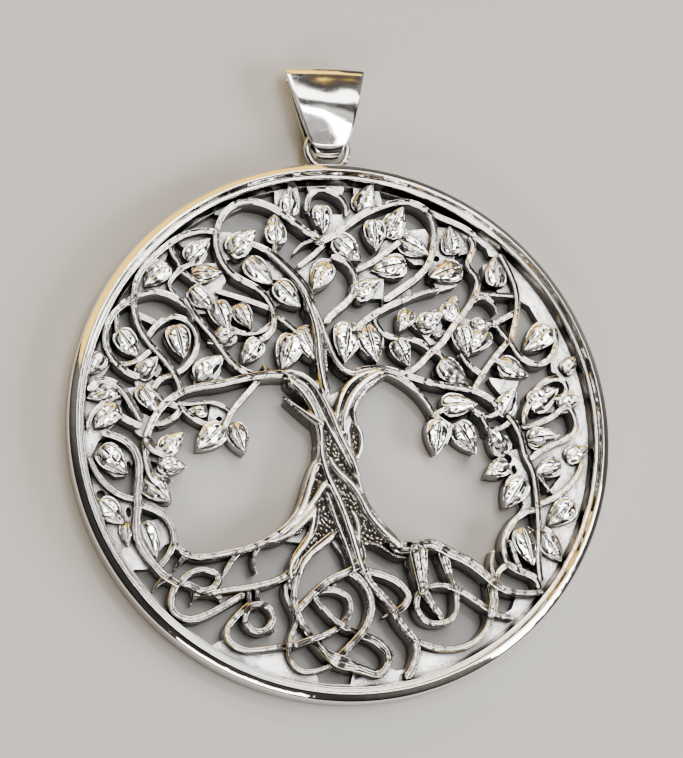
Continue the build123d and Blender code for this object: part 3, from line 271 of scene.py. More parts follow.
# %% Leaves
Leaf = namedtuple("Leaf", "x y turn size")
LEAVES = (
    Leaf(-70, 61, 225, 1), Leaf(-54, 70.5, 45, 1), Leaf(-51, 61, 0, 0.9),
    Leaf(-53.5, 51.5, -45, 0.9), Leaf(-82.2, 33.5, -55, 1), Leaf(-62.5, 34, -80, 1.1),
    Leaf(-75, 24, 47, 0.85), Leaf(-94.5, 25.5, 230, 0.8), Leaf(-92, 14, 200, 0.9),
    Leaf(-91, 5, 230, 1), Leaf(-75, 11.5, -60, 0.95), Leaf(-56, 6.5, 180, 0.6),
    Leaf(-52, -3.5, 222, 1.1), Leaf(-41.3, -4, -72, 1), Leaf(-51.5, 23.5, 42, 1.1),
    Leaf(-45.5, 36, 200, 0.9), Leaf(-45.5, 44.5, -70, 1), Leaf(-37, 44, -65, 0.9),
    Leaf(-34.5, 30.5, 230, 0.9), Leaf(-20, 30, -110, 1.2), Leaf(-12.5, 33, -70, 1.2),
    Leaf(-36.5, 74, 40, 1.1), Leaf(-23, 79, 90, 1), Leaf(-30.5, 62, -48, 1.1),
    Leaf(-17, 91, 90, 0.9), Leaf(-19.5, 53, -50, 1.05), Leaf(-4, 84.5, -90, 0.9),
    Leaf(-5.5, 60.5, -120, 1.05), Leaf(14, 92.5, 60, 1), Leaf(5.5, 72, -45, 1.1),
    Leaf(17, 78, -90, 1), Leaf(25.5, 82.5, 60, 1.1), Leaf(32.5, 73, -30, 1.05),
    Leaf(22.5, 64.5, 190, 1.1), Leaf(12, 55.5, 30, 1), Leaf(45, 62, 200, 1.1),
    Leaf(48, 75, 90, 0.9), Leaf(65, 62, 90, 1), Leaf(3, 34, -100, 1.3),
    Leaf(12.5, 33.5, -80, 1.3), Leaf(25, 30, -65, 0.9), Leaf(44.3, 21.2, -40, 1.1),
    Leaf(37, 42.5, 30, 0.9), Leaf(27, 42.5, 240, 0.8), Leaf(46, 47, 60, 0.9),
    Leaf(50.3, 34.5, -80, 1), Leaf(56.5, 34, -130, 0.95), Leaf(58, 40.5, 0, 0.7),
    Leaf(81, 35, 221, 1.15), Leaf(69, 22.5, -30, 1), Leaf(66, 9, 60, 1),
    Leaf(80.5, 10.5, 30, 1.1), Leaf(93, 24, 45, 0.7), Leaf(91, 9, 20, 0.8), Leaf(46, 8, 0, 1.1),
    Leaf(37, -4, -100, 1.1), Leaf(48, -4.5, -60, 1.1), Leaf(61, -6.5, 125, 0.95),
    Leaf(60, -17.8, 205, 0.85), Leaf(66, -26.5, 235, 1.1), Leaf(80.5, -17.5, 200, 0.9),
    Leaf(79, -5, 8, 1), Leaf(92.5, -12, 25, 0.8), Leaf(84.5, -35.5, 220, 1.1),
    Leaf(79, -48.5, -60, 1), Leaf(69, -48, -80, 1.2), Leaf(-89, -11.5, -45, 1.1),
    Leaf(-90.5, -31.5, -45, 1), Leaf(-84.5, -40, -90, 0.7), Leaf(-76.5, -42, -70, 1.1),
    Leaf(-66.8, -6, 40, 0.9), Leaf(-67.3, -14, -8, 0.85), Leaf(-73, -23.5, -45, 1.1),
    Leaf(35.4, -47.4, -20, 0.4), Leaf(40, 36.6, 30, 0.35),
)
print(len(LEAVES), "leaves")

# %% [markdown]
# ## Small helpers
# Edit-mode operators act on all that is selected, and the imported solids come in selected. So one
# helper leaves only the wanted piece selected. The others add, copy and join objects, and give a
# finished piece its name, its body, its finish and its smooth shading.

# %% Helpers for objects
def only(piece):
    """Selects this piece alone and makes it active."""
    bpy.ops.object.select_all(action="DESELECT")
    piece.select_set(True)
    bpy.context.view_layer.objects.active = piece


def add_object(name, data):
    """Puts a new object in the scene."""
    made = bpy.data.objects.new(name, data)
    bpy.context.scene.collection.objects.link(made)
    return made


def copy_of(piece):
    """A copy of a piece with a mesh of its own."""
    twin = piece.copy()
    twin.data = piece.data.copy()
    bpy.context.scene.collection.objects.link(twin)
    return twin


def join(pieces, name):
    """Makes one piece of several."""
    only(pieces[0])
    for piece in pieces:
        piece.select_set(True)
    bpy.ops.object.join()
    pieces[0].name = name
    pieces[0].data.name = name
    return pieces[0]


# %% Helpers that finish a piece
def apply_place(piece):
    """Puts the piece's place, turn and scale into its mesh."""
    only(piece)
    bpy.ops.object.transform_apply(location=True, rotation=True, scale=True)


def finish_piece(piece, name, body, material, angle=40):
    """Names, smooths and dresses a piece, and lets it ride on its body."""
    apply_place(piece)
    bpy.ops.object.shade_smooth_by_angle(angle=radians(angle))
    piece.name = name
    piece.data.name = name
    piece.data.materials.clear()
    piece.data.materials.append(material)
    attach(piece, body)
    triangles = sum(len(face.vertices) - 2 for face in piece.data.polygons)
    print(name, "rides on", body, "and has", triangles, "triangles")


# %% [markdown]
# ## Colours and nodes
# Colours are given as sRGB hex, as a paint chart gives them, and turned to the linear values that
# Blender works with.

# %% Colour and node helpers
def linear(code):
    """Linear colour from an sRGB hex code."""
    channels = [int(code[place:place + 2], 16) / 255 for place in (1, 3, 5)]
    return (*[c / 12.92 if c <= 0.04045 else ((c + 0.055) / 1.055) ** 2.4 for c in channels], 1)


def add_node(tree, kind, inputs=None, **settings):
    """Adds a node with its settings, and sets or links its inputs."""
    node = tree.nodes.new("ShaderNode" + kind)
    for name, value in settings.items():
        setattr(node, name, value)
    for name, value in (inputs or {}).items():
        if isinstance(value, bpy.types.NodeSocket):
            tree.links.new(value, node.inputs[name])
        else:
            node.inputs[name].default_value = value
    return node


def new_material(name):
    """A node material with nothing but its shader."""
    material = bpy.data.materials.new(name)
    material.use_nodes = True
    tree = material.node_tree
    tree.nodes.clear()
    shader = add_node(tree, "BsdfPrincipled")
    add_node(tree, "OutputMaterial", {"Surface": shader.outputs["BSDF"]})
    return material, tree, shader


# %% [markdown]
# ## Cast sterling silver
# The medallion is lost-wax cast sterling silver, tumbled and then polished by hand. The polishing
# mop reaches the tops of the leaves and stems, so they are almost mirrors. The hollows keep the
# softer shine of the tumbled casting, and their colour is painted dark, as painted shade. Ambient
# occlusion tells the hollows from the open tops, and the lean of the surface tells walls from tops;
# upright walls are painted darker too, as a painted dark reflection.

# %% Where the mop polishes, and where shade is painted
def polish_and_painted_shade(tree, wall_polish_and_shade):
    """1 where the mop reaches and 0 in hollows. It sets the shine, and the painted shade of the colour.
    Of that, upright walls get the wall's share.
    """
    hollow = add_node(tree, "AmbientOcclusion", {"Distance": 0.9 * mm}, samples=6)
    open_air = add_node(
        tree, "MapRange", {"Value": hollow.outputs["AO"], "From Min": 0.3, "From Max": 0.9}
    ).outputs["Result"]
    facing = add_node(tree, "NewGeometry").outputs["Normal"]
    upright = add_node(tree, "SeparateXYZ", {"Vector": facing}).outputs["Z"]
    level = add_node(
        tree, "MapRange",
        {"Value": upright, "From Min": 0.05, "From Max": 0.6, "To Min": wall_polish_and_shade},
    ).outputs["Result"]
    return add_node(tree, "Math", {0: open_air, 1: level}, operation="MULTIPLY").outputs[0]


# %% [markdown]
# In the hollows of the trunk a small round punch has left one mark beside the other, a quarter of
# a millimetre apart. Voronoi cells lie like such marks. The middle of each is a pit whose floor
# has a painted glint, and the rest of the hollow is painted black, as painted shade. The marks fade
# out where the strands rise above the hollows.

# %% Marks of the punch, with painted glints and painted shade
punch_spacing = 0.24
hollow_top = 2.08
ridge_foot = 2.24


def punch_marks_and_painted_glints(tree, place, polish_and_shade):
    """The polish and painted shade, with painted glints in the painted black of the hollows, and the
    height of the marks.
    """
    height = add_node(tree, "SeparateXYZ", {"Vector": place}).outputs["Z"]
    high = add_node(
        tree, "MapRange",
        {"Value": height, "From Min": hollow_top * mm, "From Max": ridge_foot * mm},
    ).outputs["Result"]
    cells = add_node(tree, "TexVoronoi", {"Vector": place, "Scale": 1 / (punch_spacing * mm)})
    from_middle = cells.outputs["Distance"]
    # painted glint: bright colour at the middle of each mark, with painted black shade round it in the
    # hollows
    painted_glint = add_node(
        tree, "MapRange",
        {"Value": from_middle, "From Min": 0.26, "From Max": 0.42, "To Min": 1, "To Max": 0},
    ).outputs["Result"]
    ridge_or_painted_glint = add_node(tree, "Math", {0: high, 1: painted_glint}, operation="MAXIMUM").outputs[0]
    polish_and_shade = add_node(tree, "Math", {0: polish_and_shade, 1: ridge_or_painted_glint}, operation="MULTIPLY").outputs[0]
    shallow = add_node(tree, "Math", {0: 1, 1: high}, operation="SUBTRACT").outputs[0]
    marks = add_node(tree, "Math", {0: from_middle, 1: shallow}, operation="MULTIPLY").outputs[0]
    return polish_and_shade, marks


# %% [markdown]
# A wax model is carved by hand, so even its polished parts are a little wavy, about every 0.7 mm,
# and that breaks each reflection up. The grain of the casting lies on top of the waves. It is
# really about 0.05 mm, and is drawn at 0.16 mm so that it shows. One function makes all the cast
# finishes, and the heights of waves, grain and punch marks are in millimetres.

# %% Cast silver, tumbled and polished
wave_spacing = 0.7
grain_spacing = 0.16


def cast_silver(name, wave_height, grain_height, smooth, dull, wall_polish_and_shade, punch_height=0):
    """Silver whose roughness goes from smooth, where the mop reaches, to dull in the hollows. Its colour
    is painted dark in the hollows and on upright walls, as painted shade.
    """
    material, tree, shader = new_material(name)
    shader.inputs["Metallic"].default_value = 1
    place = add_node(tree, "TexCoord").outputs["Object"]
    polish_and_shade = polish_and_painted_shade(tree, wall_polish_and_shade)
    if punch_height:
        polish_and_shade, marks = punch_marks_and_painted_glints(tree, place, polish_and_shade)
    shine = add_node(tree, "MapRange", {"Value": polish_and_shade, "To Min": dull, "To Max": smooth})
    tree.links.new(shine.outputs["Result"], shader.inputs["Roughness"])
    # painted shade: dark #302D2C in the hollows and on upright walls, silver white on the open tops
    colour = add_node(
        tree, "Mix",
        {"Factor": polish_and_shade, "A": linear("#302D2C"), "B": linear("#FBF7F2")},
        data_type="RGBA",
    )
    tree.links.new(colour.outputs["Result"], shader.inputs["Base Color"])
    waves = add_node(tree, "TexNoise", {"Vector": place, "Scale": 1 / (wave_spacing * mm), "Detail": 1})
    grain = add_node(tree, "TexNoise", {"Vector": place, "Scale": 1 / (grain_spacing * mm), "Detail": 3})
    relief = add_node(
        tree, "Bump", {"Height": waves.outputs["Fac"], "Distance": wave_height * mm}
    ).outputs["Normal"]
    relief = add_node(
        tree, "Bump",
        {"Height": grain.outputs["Fac"], "Distance": grain_height * mm, "Normal": relief},
    ).outputs["Normal"]
    if punch_height:
        relief = add_node(
            tree, "Bump", {"Height": marks, "Distance": punch_height * mm, "Normal": relief}
        ).outputs["Normal"]
    tree.links.new(relief, shader.inputs["Normal"])
    return material


# %% The four finishes of the casting
# Leaves, vines, roots and ring, polished with a mop: bright, with wavy, broken reflections
polished_silver = cast_silver(
    "cast sterling silver, polished",
    wave_height=0.09, grain_height=0.004, smooth=0.07, dull=0.3, wall_polish_and_shade=0.15,
)
# The web, as it came out of the tumbler: a soft, grainy shine, with painted shade where it lies deep
tumbled_silver = cast_silver(
    "cast sterling silver, tumbled",
    wave_height=0.1, grain_height=0.03, smooth=0.22, dull=0.4, wall_polish_and_shade=0.1,
)
# The trunk, polished on its ridges and punched in its hollows: bright lines, and gaps painted black as
# shade, with painted glints
trunk_silver = cast_silver(
    "cast sterling silver, stippled",
    wave_height=0.04, grain_height=0.01, smooth=0.08, dull=0.3, wall_polish_and_shade=0.15, punch_height=0.12,
)
# The rim, buffed on a wheel: the truest mirror of the casting, with long unbroken lights
rim_silver = cast_silver(
    "cast sterling silver, buffed rim",
    wave_height=0.012, grain_height=0.001, smooth=0.05, dull=0.2, wall_polish_and_shade=0.6,
)
print("finishes:", polished_silver.name, tumbled_silver.name, trunk_silver.name, rim_silver.name)

# %% [markdown]
# ## Web of the casting
# Under the leaves and stems the casting is one flat web, cut right through between them. Its
# openings could be cut anew, but they have to lie exactly where the solid has them. So the web is
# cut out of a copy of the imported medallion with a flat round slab. That leaves behind the rim, the
# ring and all that stands above the web, which are modelled below. The slab is a hair thinner than
# the web, so that no two flat faces meet, and the cut is made with millimetres as units, in which
# it is more exact.

# %% Slab that the web is cut with
web_top = web_height - 0.02
web_back = 0.02
rim_overlap = 0.1
bpy.ops.mesh.primitive_cylinder_add(
    vertices=256, radius=openwork_radius + rim_overlap, depth=web_top - web_back,
    location=(0, 0, (web_top + web_back) / 2),
)
slab = bpy.context.object
apply_place(slab)
print("the slab reaches from", web_back, "to", web_top, "mm")

# %% Web, cut from the casting
web = copy_of(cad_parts["medallion"])
web.parent = None
web.matrix_world = Matrix.Identity(4)
only(web)
bpy.ops.object.mode_set(mode="EDIT")
bpy.ops.mesh.select_all(action="SELECT")
bpy.ops.mesh.remove_doubles(threshold=0.001 * mm)
bpy.ops.object.mode_set(mode="OBJECT")
web.data.transform(Matrix.Scale(1 / mm, 4))
cut = web.modifiers.new("slab", "BOOLEAN")
cut.operation = "INTERSECT"
cut.solver = "MANIFOLD"
cut.object = slab
bpy.ops.object.modifier_apply(modifier="slab")
web.data.transform(Matrix.Scale(mm, 4))
bpy.data.objects.remove(slab)
finish_piece(web, "pierced_web", "medallion", tumbled_silver)
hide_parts("medallion")

# %% [markdown]
# ## Smooth lines
# Each stem follows the smooth line through its places. The line is the same one that the casting
# was drawn with: a cubic through every place, timed by the straight distance between places, whose
# ends lean as the cubic through the last four places does.

# %% How the line leans at its ends
def end_slope(times, places, at):
    """Slope at one end of the curve through up to four places."""
    slope = np.zeros(2)
    for i, place in enumerate(places):
        others = [t for j, t in enumerate(times) if j != i]
        scale = np.prod([times[i] - t for t in others])
        total = sum(
            np.prod([at - t for k, t in enumerate(others) if k != j]) for j in range(len(others))
        )
        slope += place * total / scale
    return slope


# %% Smooth line through a few places
line_spacing = 0.22


def smooth_line(route):
    """Places in mm along the smooth line, each with its heading and share of the way."""
    places = np.array(route, float) * unit
    gaps = np.hypot(*np.diff(places, axis=0).T)
    times = np.concatenate([[0], np.cumsum(gaps)])
    count = len(places)
    slopes = np.zeros_like(places)
    system = np.eye(count)
    slopes[0] = end_slope(times[:4], places[:4], times[0])
    slopes[-1] = end_slope(times[-4:], places[-4:], times[-1])
    for i in range(1, count - 1):
        before, after = gaps[i - 1], gaps[i]
        system[i, i - 1:i + 2] = after, 2 * (before + after), before
        rise = after * (places[i] - places[i - 1]) / before
        slopes[i] = 3 * (rise + before * (places[i + 1] - places[i]) / after)
    slopes = np.linalg.solve(system, slopes)
    steps = max(4, int(times[-1] / line_spacing))
    line = []
    for step in range(steps + 1):
        time = times[-1] * step / steps
        i = min(int(np.searchsorted(times, time, side="right")) - 1, count - 2)
        s = (time - times[i]) / gaps[i]
        a, b = places[i], places[i + 1]
        u, v = slopes[i] * gaps[i], slopes[i + 1] * gaps[i]
        point = a + s * u + s * s * (3 * (b - a) - 2 * u - v) + s ** 3 * (2 * (a - b) + u + v)
        lean = u + 2 * s * (3 * (b - a) - 2 * u - v) + 3 * s * s * (2 * (a - b) + u + v)
        line.append((point, lean / hypot(*lean), step / steps))
    return line


# %% [markdown]
# ## Stems with a shaped top
# Vines and roots are shallow channels between two rounded edges, cut in the wax with a gouge, and
# the strands of the trunk have a sharp ridge. A round bevelled curve has neither, and to extrude
# each stem by hand would take days. So a stem is a curve that carries a section: its top on two
# straight legs. The section is drawn once, one stem wide, and grows and shrinks with the stem, and
# the legs reach down into the web.

# %% Sections of the stems, as shares of the stem width
leg_depth = 3.0


def section(name, half):
    """Closed outline of a stem's section, from its right half."""
    outline = [(half[0][0], -leg_depth)] + half
    outline += [(-x, y) for x, y in reversed(outline) if x]
    curve = bpy.data.curves.new(name, "CURVE")
    line = curve.splines.new("POLY")
    line.points.add(len(outline) - 1)
    for point, (x, y) in zip(line.points, outline):
        point.co = (x * stem_width * mm, y * stem_width * mm, 0, 1)
    line.use_cyclic_u = True
    return add_object(name, curve)


vine_section = section("vine section", [
    (0.51, -0.5), (0.5, -0.28), (0.47, -0.12), (0.42, -0.03), (0.37, 0), (0.31, -0.04),
    (0.22, -0.17), (0.12, -0.26), (0, -0.29),
])
root_section = section("root section", [
    (0.51, -0.6), (0.5, -0.38), (0.46, -0.18), (0.39, -0.04), (0.32, 0), (0.26, -0.06),
    (0.18, -0.22), (0.1, -0.31), (0, -0.33),
])
strand_section = section("strand section", [
    (0.51, -0.9), (0.45, -0.55), (0.34, -0.26), (0.2, -0.07), (0.08, 0), (0, 0),
])
print("a vine's channel is", round(0.29 * stem_width, 2), "mm deep")

# %% [markdown]
# At a crossing of the knotwork the root on top rises and the other one dips, each over about a
# millimetre, so that they read as a plait although both are one casting.

# %% Rise and dip at the crossings
crossing_reach = 1.1
same_way = 0.75


def lift(point, lean):
    """How far a root rises or dips at the crossings near this place, from -1 to 1."""
    total = 0
    for crossing in CROSSINGS:
        apart = hypot(point[0] - crossing.x * unit, point[1] - crossing.y * unit)
        heading = radians(crossing.over)
        along = abs(lean[0] * cos(heading) + lean[1] * sin(heading))
        near = 0.5 + 0.5 * cos(pi * min(1, apart / crossing_reach))
        total += (1 if along > same_way else -1) * near
    return total


# %% Places along one stem
cap_turns = (25, 50, 75)
point_share = 0.5
point_reach = 3
Station = namedtuple("Station", "point share narrow raised")


def stations(stem, crossing_lift):
    """Places along a stem and its round ends, each with its share of the way, how much the end
    narrows the stem there, and how far it is raised. A stem that thins a lot ends in a long point."""
    line = smooth_line(stem.route)
    start, start_lean, _ = line[0]
    end, end_lean, _ = line[-1]
    middle = [Station(point, share, 1, crossing_lift * lift(point, lean)) for point, lean, share in line]
    tip_reach = point_reach if stem.end_width < point_share * stem.start_width else 1
    foot, tip = [], []
    for turn in (radians(turn) for turn in cap_turns):
        back = stem.start_width * stem_width / 2 * sin(turn)
        ahead = tip_reach * stem.end_width * stem_width / 2 * sin(turn)
        foot.insert(0, Station(start - start_lean * back, 0, cos(turn), middle[0].raised))
        tip.append(Station(end + end_lean * ahead, 1, cos(turn), middle[-1].raised))
    return foot + middle + tip


# %% Stems of one kind
web_depth = 0.3
end_drop = 0.4


def add_stems(name, stems, shape, rise, crossing_lift=0.0):
    """One mesh of stems, whose tops stand out of the web by the root of their width times rise."""
    curve = bpy.data.curves.new(name, "CURVE")
    curve.dimensions = "3D"
    curve.twist_mode = "Z_UP"
    curve.bevel_mode = "OBJECT"
    curve.bevel_object = shape
    curve.use_fill_caps = True
    for stem in stems:
        places = stations(stem, crossing_lift)
        spline = curve.splines.new("POLY")
        spline.points.add(len(places) - 1)
        for target, (point, share, narrow, raised) in zip(spline.points, places):
            width = stem.start_width + (stem.end_width - stem.start_width) * share
            drop = end_drop * width * stem_width * (1 - narrow)
            top = web_height + rise * width ** 0.5 - drop + raised
            target.co = (point[0] * mm, point[1] * mm, top * mm, 1)
            target.radius = width * narrow
    only(add_object(name, curve))
    bpy.ops.object.convert(target="MESH")
    piece = bpy.context.object
    for v in piece.data.vertices:
        if v.co.z < (web_height - 0.05) * mm:
            v.co.z = (web_height - web_depth) * mm
    return piece


# %% Vines and roots
vines = add_stems("vines", CANOPY_STEMS, vine_section, rise=0.72)
finish_piece(vines, "vines", "medallion", polished_silver, 60)
roots = add_stems("roots", ROOT_STEMS, root_section, rise=0.9, crossing_lift=0.2)
finish_piece(roots, "knotted_roots", "medallion", polished_silver, 60)

# %% [markdown]
# ## Trunk
# The trunk is a bundle of strands, twisted like old vine wood, that were wax before they were
# silver. If they only lay over each other, they would meet in sharp seams, where the casting has
# soft ones with punched hollows between them. So strands and a core are joined, remeshed into one
# skin and lightly smoothed, and the trunk's finish marks the hollows.

# %% Core of the trunk, under its strands
TRUNK_CORE = (
    (-16, 15), (-12, 6), (-10.5, -3), (-11, -13), (-15, -22), (-18, -31), (-24, -40), (-20, -42),
    (-15, -36), (-16, -44), (-23, -52), (-23, -58), (-20, -57), (-16, -49), (-8, -43), (-4, -44),
    (-1, -54), (3, -54), (4, -46), (15, -46), (8, -35), (4, -20), (3.6, -14), (6, -8), (5, 0),
    (4, 8), (14, 20.5), (4, 18.5), (-2, 9), (-6, 7), (-10, 15),
)
core_top = 2.0
corners = [(x * unit * mm, y * unit * mm, (web_height - web_depth) * mm) for x, y in TRUNK_CORE]
core_data = bpy.data.meshes.new("core")
core_data.from_pydata(corners, [], [range(len(corners))])
core = add_object("core", core_data)
only(core)
bpy.ops.object.mode_set(mode="EDIT")
bpy.ops.mesh.select_all(action="SELECT")
core_rise = (0, 0, (core_top - web_height + web_depth) * mm)
bpy.ops.mesh.extrude_region_move(TRANSFORM_OT_translate={"value": core_rise})
bpy.ops.mesh.select_all(action="SELECT")
bpy.ops.mesh.normals_make_consistent(inside=False)
bpy.ops.object.mode_set(mode="OBJECT")
print("the core of the trunk has", len(corners), "corners")

# %% One skin over strands and core
strands = add_stems("strands", TRUNK_STEMS, strand_section, rise=1.1)
trunk = join([strands, core], "trunk")
trunk.data.transform(Matrix.Scale(1 / mm, 4))
skin = trunk.modifiers.new("skin", "REMESH")
skin.mode = "VOXEL"
skin.voxel_size = 0.075
smooth = trunk.modifiers.new("smooth", "SMOOTH")
smooth.factor = 0.5
smooth.iterations = 2
only(trunk)
bpy.ops.object.modifier_apply(modifier="skin")
bpy.ops.object.modifier_apply(modifier="smooth")
trunk.data.transform(Matrix.Scale(mm, 4))
finish_piece(trunk, "trunk", "medallion", trunk_silver, 75)

# The sections have done their work, and aren't part of the pendant
for shape in (vine_section, root_section, strand_section):
    bpy.data.objects.remove(shape)

# %% [markdown]
# ## Leaves
# A leaf is a plump heart with a groove down the middle and a dish inside its raised edge. It was
# cut in wax with a knife, so its top is a little faceted. It could be sculpted, but on a grid every
# point has a known place between foot and tip and between edge and middle, which the carving can
# follow. It is modelled once and copied to every place in the table, each copy with a slightly
# different tilt, as carved leaves have.

# %% Outline of a leaf, as shares of its length
leaf_foot, foot_pull, tip_pull, leaf_tip = -0.47, -0.52, 0.13, 0.53
foot_breadth, tip_breadth = 0.72, 0.55


def leaf_outline(u):
    """Place on one half of the outline, along and across, from the round foot to the tip."""
    v = 1 - u
    plump = leaf_width / leaf_length
    along = leaf_foot * v ** 3 + 3 * foot_pull * v * v * u + 3 * tip_pull * v * u * u + leaf_tip * u ** 3
    across = 3 * foot_breadth * plump * v * v * u + 3 * tip_breadth * plump * v * u * u
    return along, across


def peak(value, at, spread):
    """1 at a place and 0 beyond a spread from it."""
    return max(0, 1 - abs(value - at) / spread)


# %% [markdown]
# The rows of the grid run from foot to tip and its columns from edge to edge. Each point is moved
# to its place in the outline and raised by what the carver left there: an edge, a dish inside it,
# a swelling towards the middle, a groove along it, and the cuts of the knife. The outermost column
# goes down into the web and makes the leaf's wall.

# %% One leaf
rows, columns = 20, 48
leaf_base = -0.3
bpy.ops.mesh.primitive_grid_add(x_subdivisions=rows, y_subdivisions=columns, size=2)
leaf = bpy.context.object
wall = 1 - 2 / columns
for v in leaf.data.vertices:
    u = min(max((v.co.x + 1) / 2, 0.004), 0.996)
    t = abs(v.co.y)
    along, across = leaf_outline(u)
    middle = leaf_foot + u ** 1.2
    inner = min(1, t / wall)
    x = middle + (along - middle) * inner ** 2
    y = across * inner * (1 if v.co.y > 0 else -1)
    full = sin(pi * u) ** 0.5
    edge = 0.45 + 0.14 * min(1, (1 - inner) / 0.06)
    dish = -0.1 * peak(inner, 0.82, 0.16)
    swell = 0.2 * (1 - inner ** 2)
    groove = -0.08 * peak(inner, 0, 0.16)
    knife = 0.05 * noise.noise(Vector((2.6 * x * leaf_length, 2.6 * y * leaf_length, 0)))
    curl = 0.16 * u ** 3 - 0.1 * (1 - u) ** 3
    top = edge + (dish + swell + groove + knife) * full + curl
    z = top if t < wall + 0.01 else leaf_base
    v.co = (x * leaf_length * mm, y * leaf_length * mm, z * mm)
print("one leaf has", len(leaf.data.vertices), "points")

# %% Every leaf in its place
leaf_growth = 1.05
leaf_sink = 0.06
leaves = []
for index, place in enumerate(LEAVES):
    copy = copy_of(leaf)
    tilt = radians(7) * sin(2.4 * index)
    nod = radians(6) * cos(1.7 * index) + radians(3)
    turn = Matrix.Rotation(radians(place.turn), 4, "Z")
    turn = turn @ Matrix.Rotation(nod, 4, "Y") @ Matrix.Rotation(tilt, 4, "X")
    breadth = place.size * leaf_growth
    height = min(1, 0.5 + place.size / 2)
    size = Matrix.Diagonal((breadth, breadth, height, 1))
    spot = Matrix.Translation((place.x * unit * mm, place.y * unit * mm, (web_height - leaf_sink) * mm))
    copy.matrix_world = spot @ turn @ size
    leaves.append(copy)
bpy.data.objects.remove(leaf)
leaves = join(leaves, "leaves")
finish_piece(leaves, "leaves", "medallion", polished_silver, 60)

# %% [markdown]
# ## Rim
# The rim is a heavy band. Its crown is a narrow ridge, with a wide bevel falling outwards to the
# round outer edge, and a fine step and bead inside it, above the inner wall. A torus has none of
# these, so its section is drawn once and spun round the disc, as a lathe would turn it.

# %% Section of the rim: distance from the middle and height, round from the back's inner edge
rim_section = [
    (20.93, 0), (22.1, 0), (22.3, 0.03), (22.43, 0.12), (22.5, 0.3), (22.5, 1.3), (22.5, 2.3),
    (22.48, 2.46), (22.42, 2.58), (22.32, 2.67), (22.2, 2.745), (22.07, 2.82), (21.95, 2.885),
    (21.86, 2.935), (21.8, 2.955), (21.74, 2.94), (21.66, 2.8), (21.56, 2.56), (21.48, 2.42),
    (21.42, 2.39), (21.36, 2.41), (21.3, 2.44), (21.24, 2.42), (21.18, 2.3), (21.08, 1.8),
    (20.93, 1.2),
]
edges = [(i, (i + 1) % len(rim_section)) for i in range(len(rim_section))]
rim_data = bpy.data.meshes.new("rim")
rim_data.from_pydata([(x * mm, 0, z * mm) for x, z in rim_section], edges, [])
rim = add_object("rim", rim_data)
print("the rim's section has", len(rim_section), "corners")

# %% Rim by spinning its section
only(rim)
bpy.ops.object.mode_set(mode="EDIT")
bpy.ops.mesh.select_all(action="SELECT")
bpy.ops.mesh.spin(steps=360, angle=2 * pi, center=(0, 0, 0), axis=(0, 0, 1))
bpy.ops.mesh.select_all(action="SELECT")
bpy.ops.mesh.remove_doubles(threshold=0.002 * mm)
bpy.ops.mesh.normals_make_consistent(inside=False)
bpy.ops.object.mode_set(mode="OBJECT")
finish_piece(rim, "rim", "medallion", rim_silver, 50)

# %% [markdown]
# ## Hanging ring
# The ring is a loop of round wire that stands half out of the rim and is soldered to it. A torus
# gives the loop, and its wire is then thickened where the solder has run up it.

# %% Ring of wire
ring_radius = 1.75
ring_wire_radius = 0.3
ring_sink = 0.45
ring_height = 1.5
ring_y = disc_radius + ring_radius + ring_wire_radius - ring_sink
bpy.ops.mesh.primitive_torus_add(
    major_radius=ring_radius * mm, minor_radius=ring_wire_radius * mm,
    major_segments=96, minor_segments=24, location=(0, ring_y * mm, ring_height * mm),
)
ring = bpy.context.object
apply_place(ring)
print("the middle of the ring is", ring_y, "mm from the middle of the disc")

# %% Solder at its foot
solder_inset = 0.1
solder_climb = 0.75
solder_swell = 0.7
for v in ring.data.vertices:
    turn = Vector((v.co.x, v.co.y - ring_y * mm))
    middle = turn.normalized() * ring_radius * mm
    near = max(0, 1 - (v.co.y / mm - disc_radius + solder_inset) / solder_climb)
    swell = 1 + solder_swell * min(1, near) ** 2
    v.co.x = middle.x + (v.co.x - middle.x) * swell
    v.co.y = ring_y * mm + middle.y + (v.co.y - ring_y * mm - middle.y) * swell
    v.co.z = ring_height * mm + (v.co.z - ring_height * mm) * swell
finish_piece(ring, "hanging_ring", "medallion", polished_silver, 60)

# %% [markdown]
# ## Bail
# The bail is sheet silver, cut like a long tie, bent round the ring and closed, so that its front
# leaf hangs over the ring. It could be a block with a hole, but a strip laid round a loop is
# equally thick everywhere, as sheet is. Seen from the side the loop is a drop, which three arcs and
# the straight lines between them give. A table gives its half width at each height above its bend.

# %% Sizes of the bail
hinge_y = ring_y + ring_radius
bail_wall = 0.5
bail_height = 2.9
bail_bend_y = hinge_y - 1.55
bail_bottom_y = bail_bend_y - 1.15
bail_back_share = 0.86
Arc = namedtuple("Arc", "y z radius")
BAIL_ARCS = (
    Arc(bail_bend_y, ring_height, 1.15), Arc(bail_bend_y + 3.2, 1.45, 1.45),
    Arc(bail_bend_y + 6.05, 1.3, 1.3),
)
Side = namedtuple("Side", "rise half_width")
BAIL_SIDES = (
    Side(0, 0.95), Side(0.4, 1.18), Side(0.85, 1.34), Side(1.2, 1.6), Side(1.85, 1.9),
    Side(3.05, 2.3), Side(4.85, 2.75), Side(6.15, 3.05), Side(7.55, 3.45), Side(8.5, 3.6),
)
print("the bail turns about y", hinge_y, "and its lowest point is at y", round(bail_bottom_y, 2))

# %% [markdown]
# The loop is walked round in small turns, and its long runs are divided evenly. Sheet metal doesn't
# bend sharply from run to arc, so the places between the two ends are averaged with their
# neighbours many times, and the front run then bulges a little, as a hammered strip does.

# %% Loop that the strip follows
loop_turns = 144
strip_spacing = 0.25
easing_rounds = 30
bail_bulge = 0.1


def loop_place(turn):
    """Place on the outside of the loop that faces this way, as (y, z)."""
    facing = Vector((cos(turn), sin(turn)))
    arc = max(BAIL_ARCS, key=lambda arc: Vector((arc.y, arc.z)).dot(facing) + arc.radius)
    return Vector((arc.y, arc.z)) + arc.radius * facing


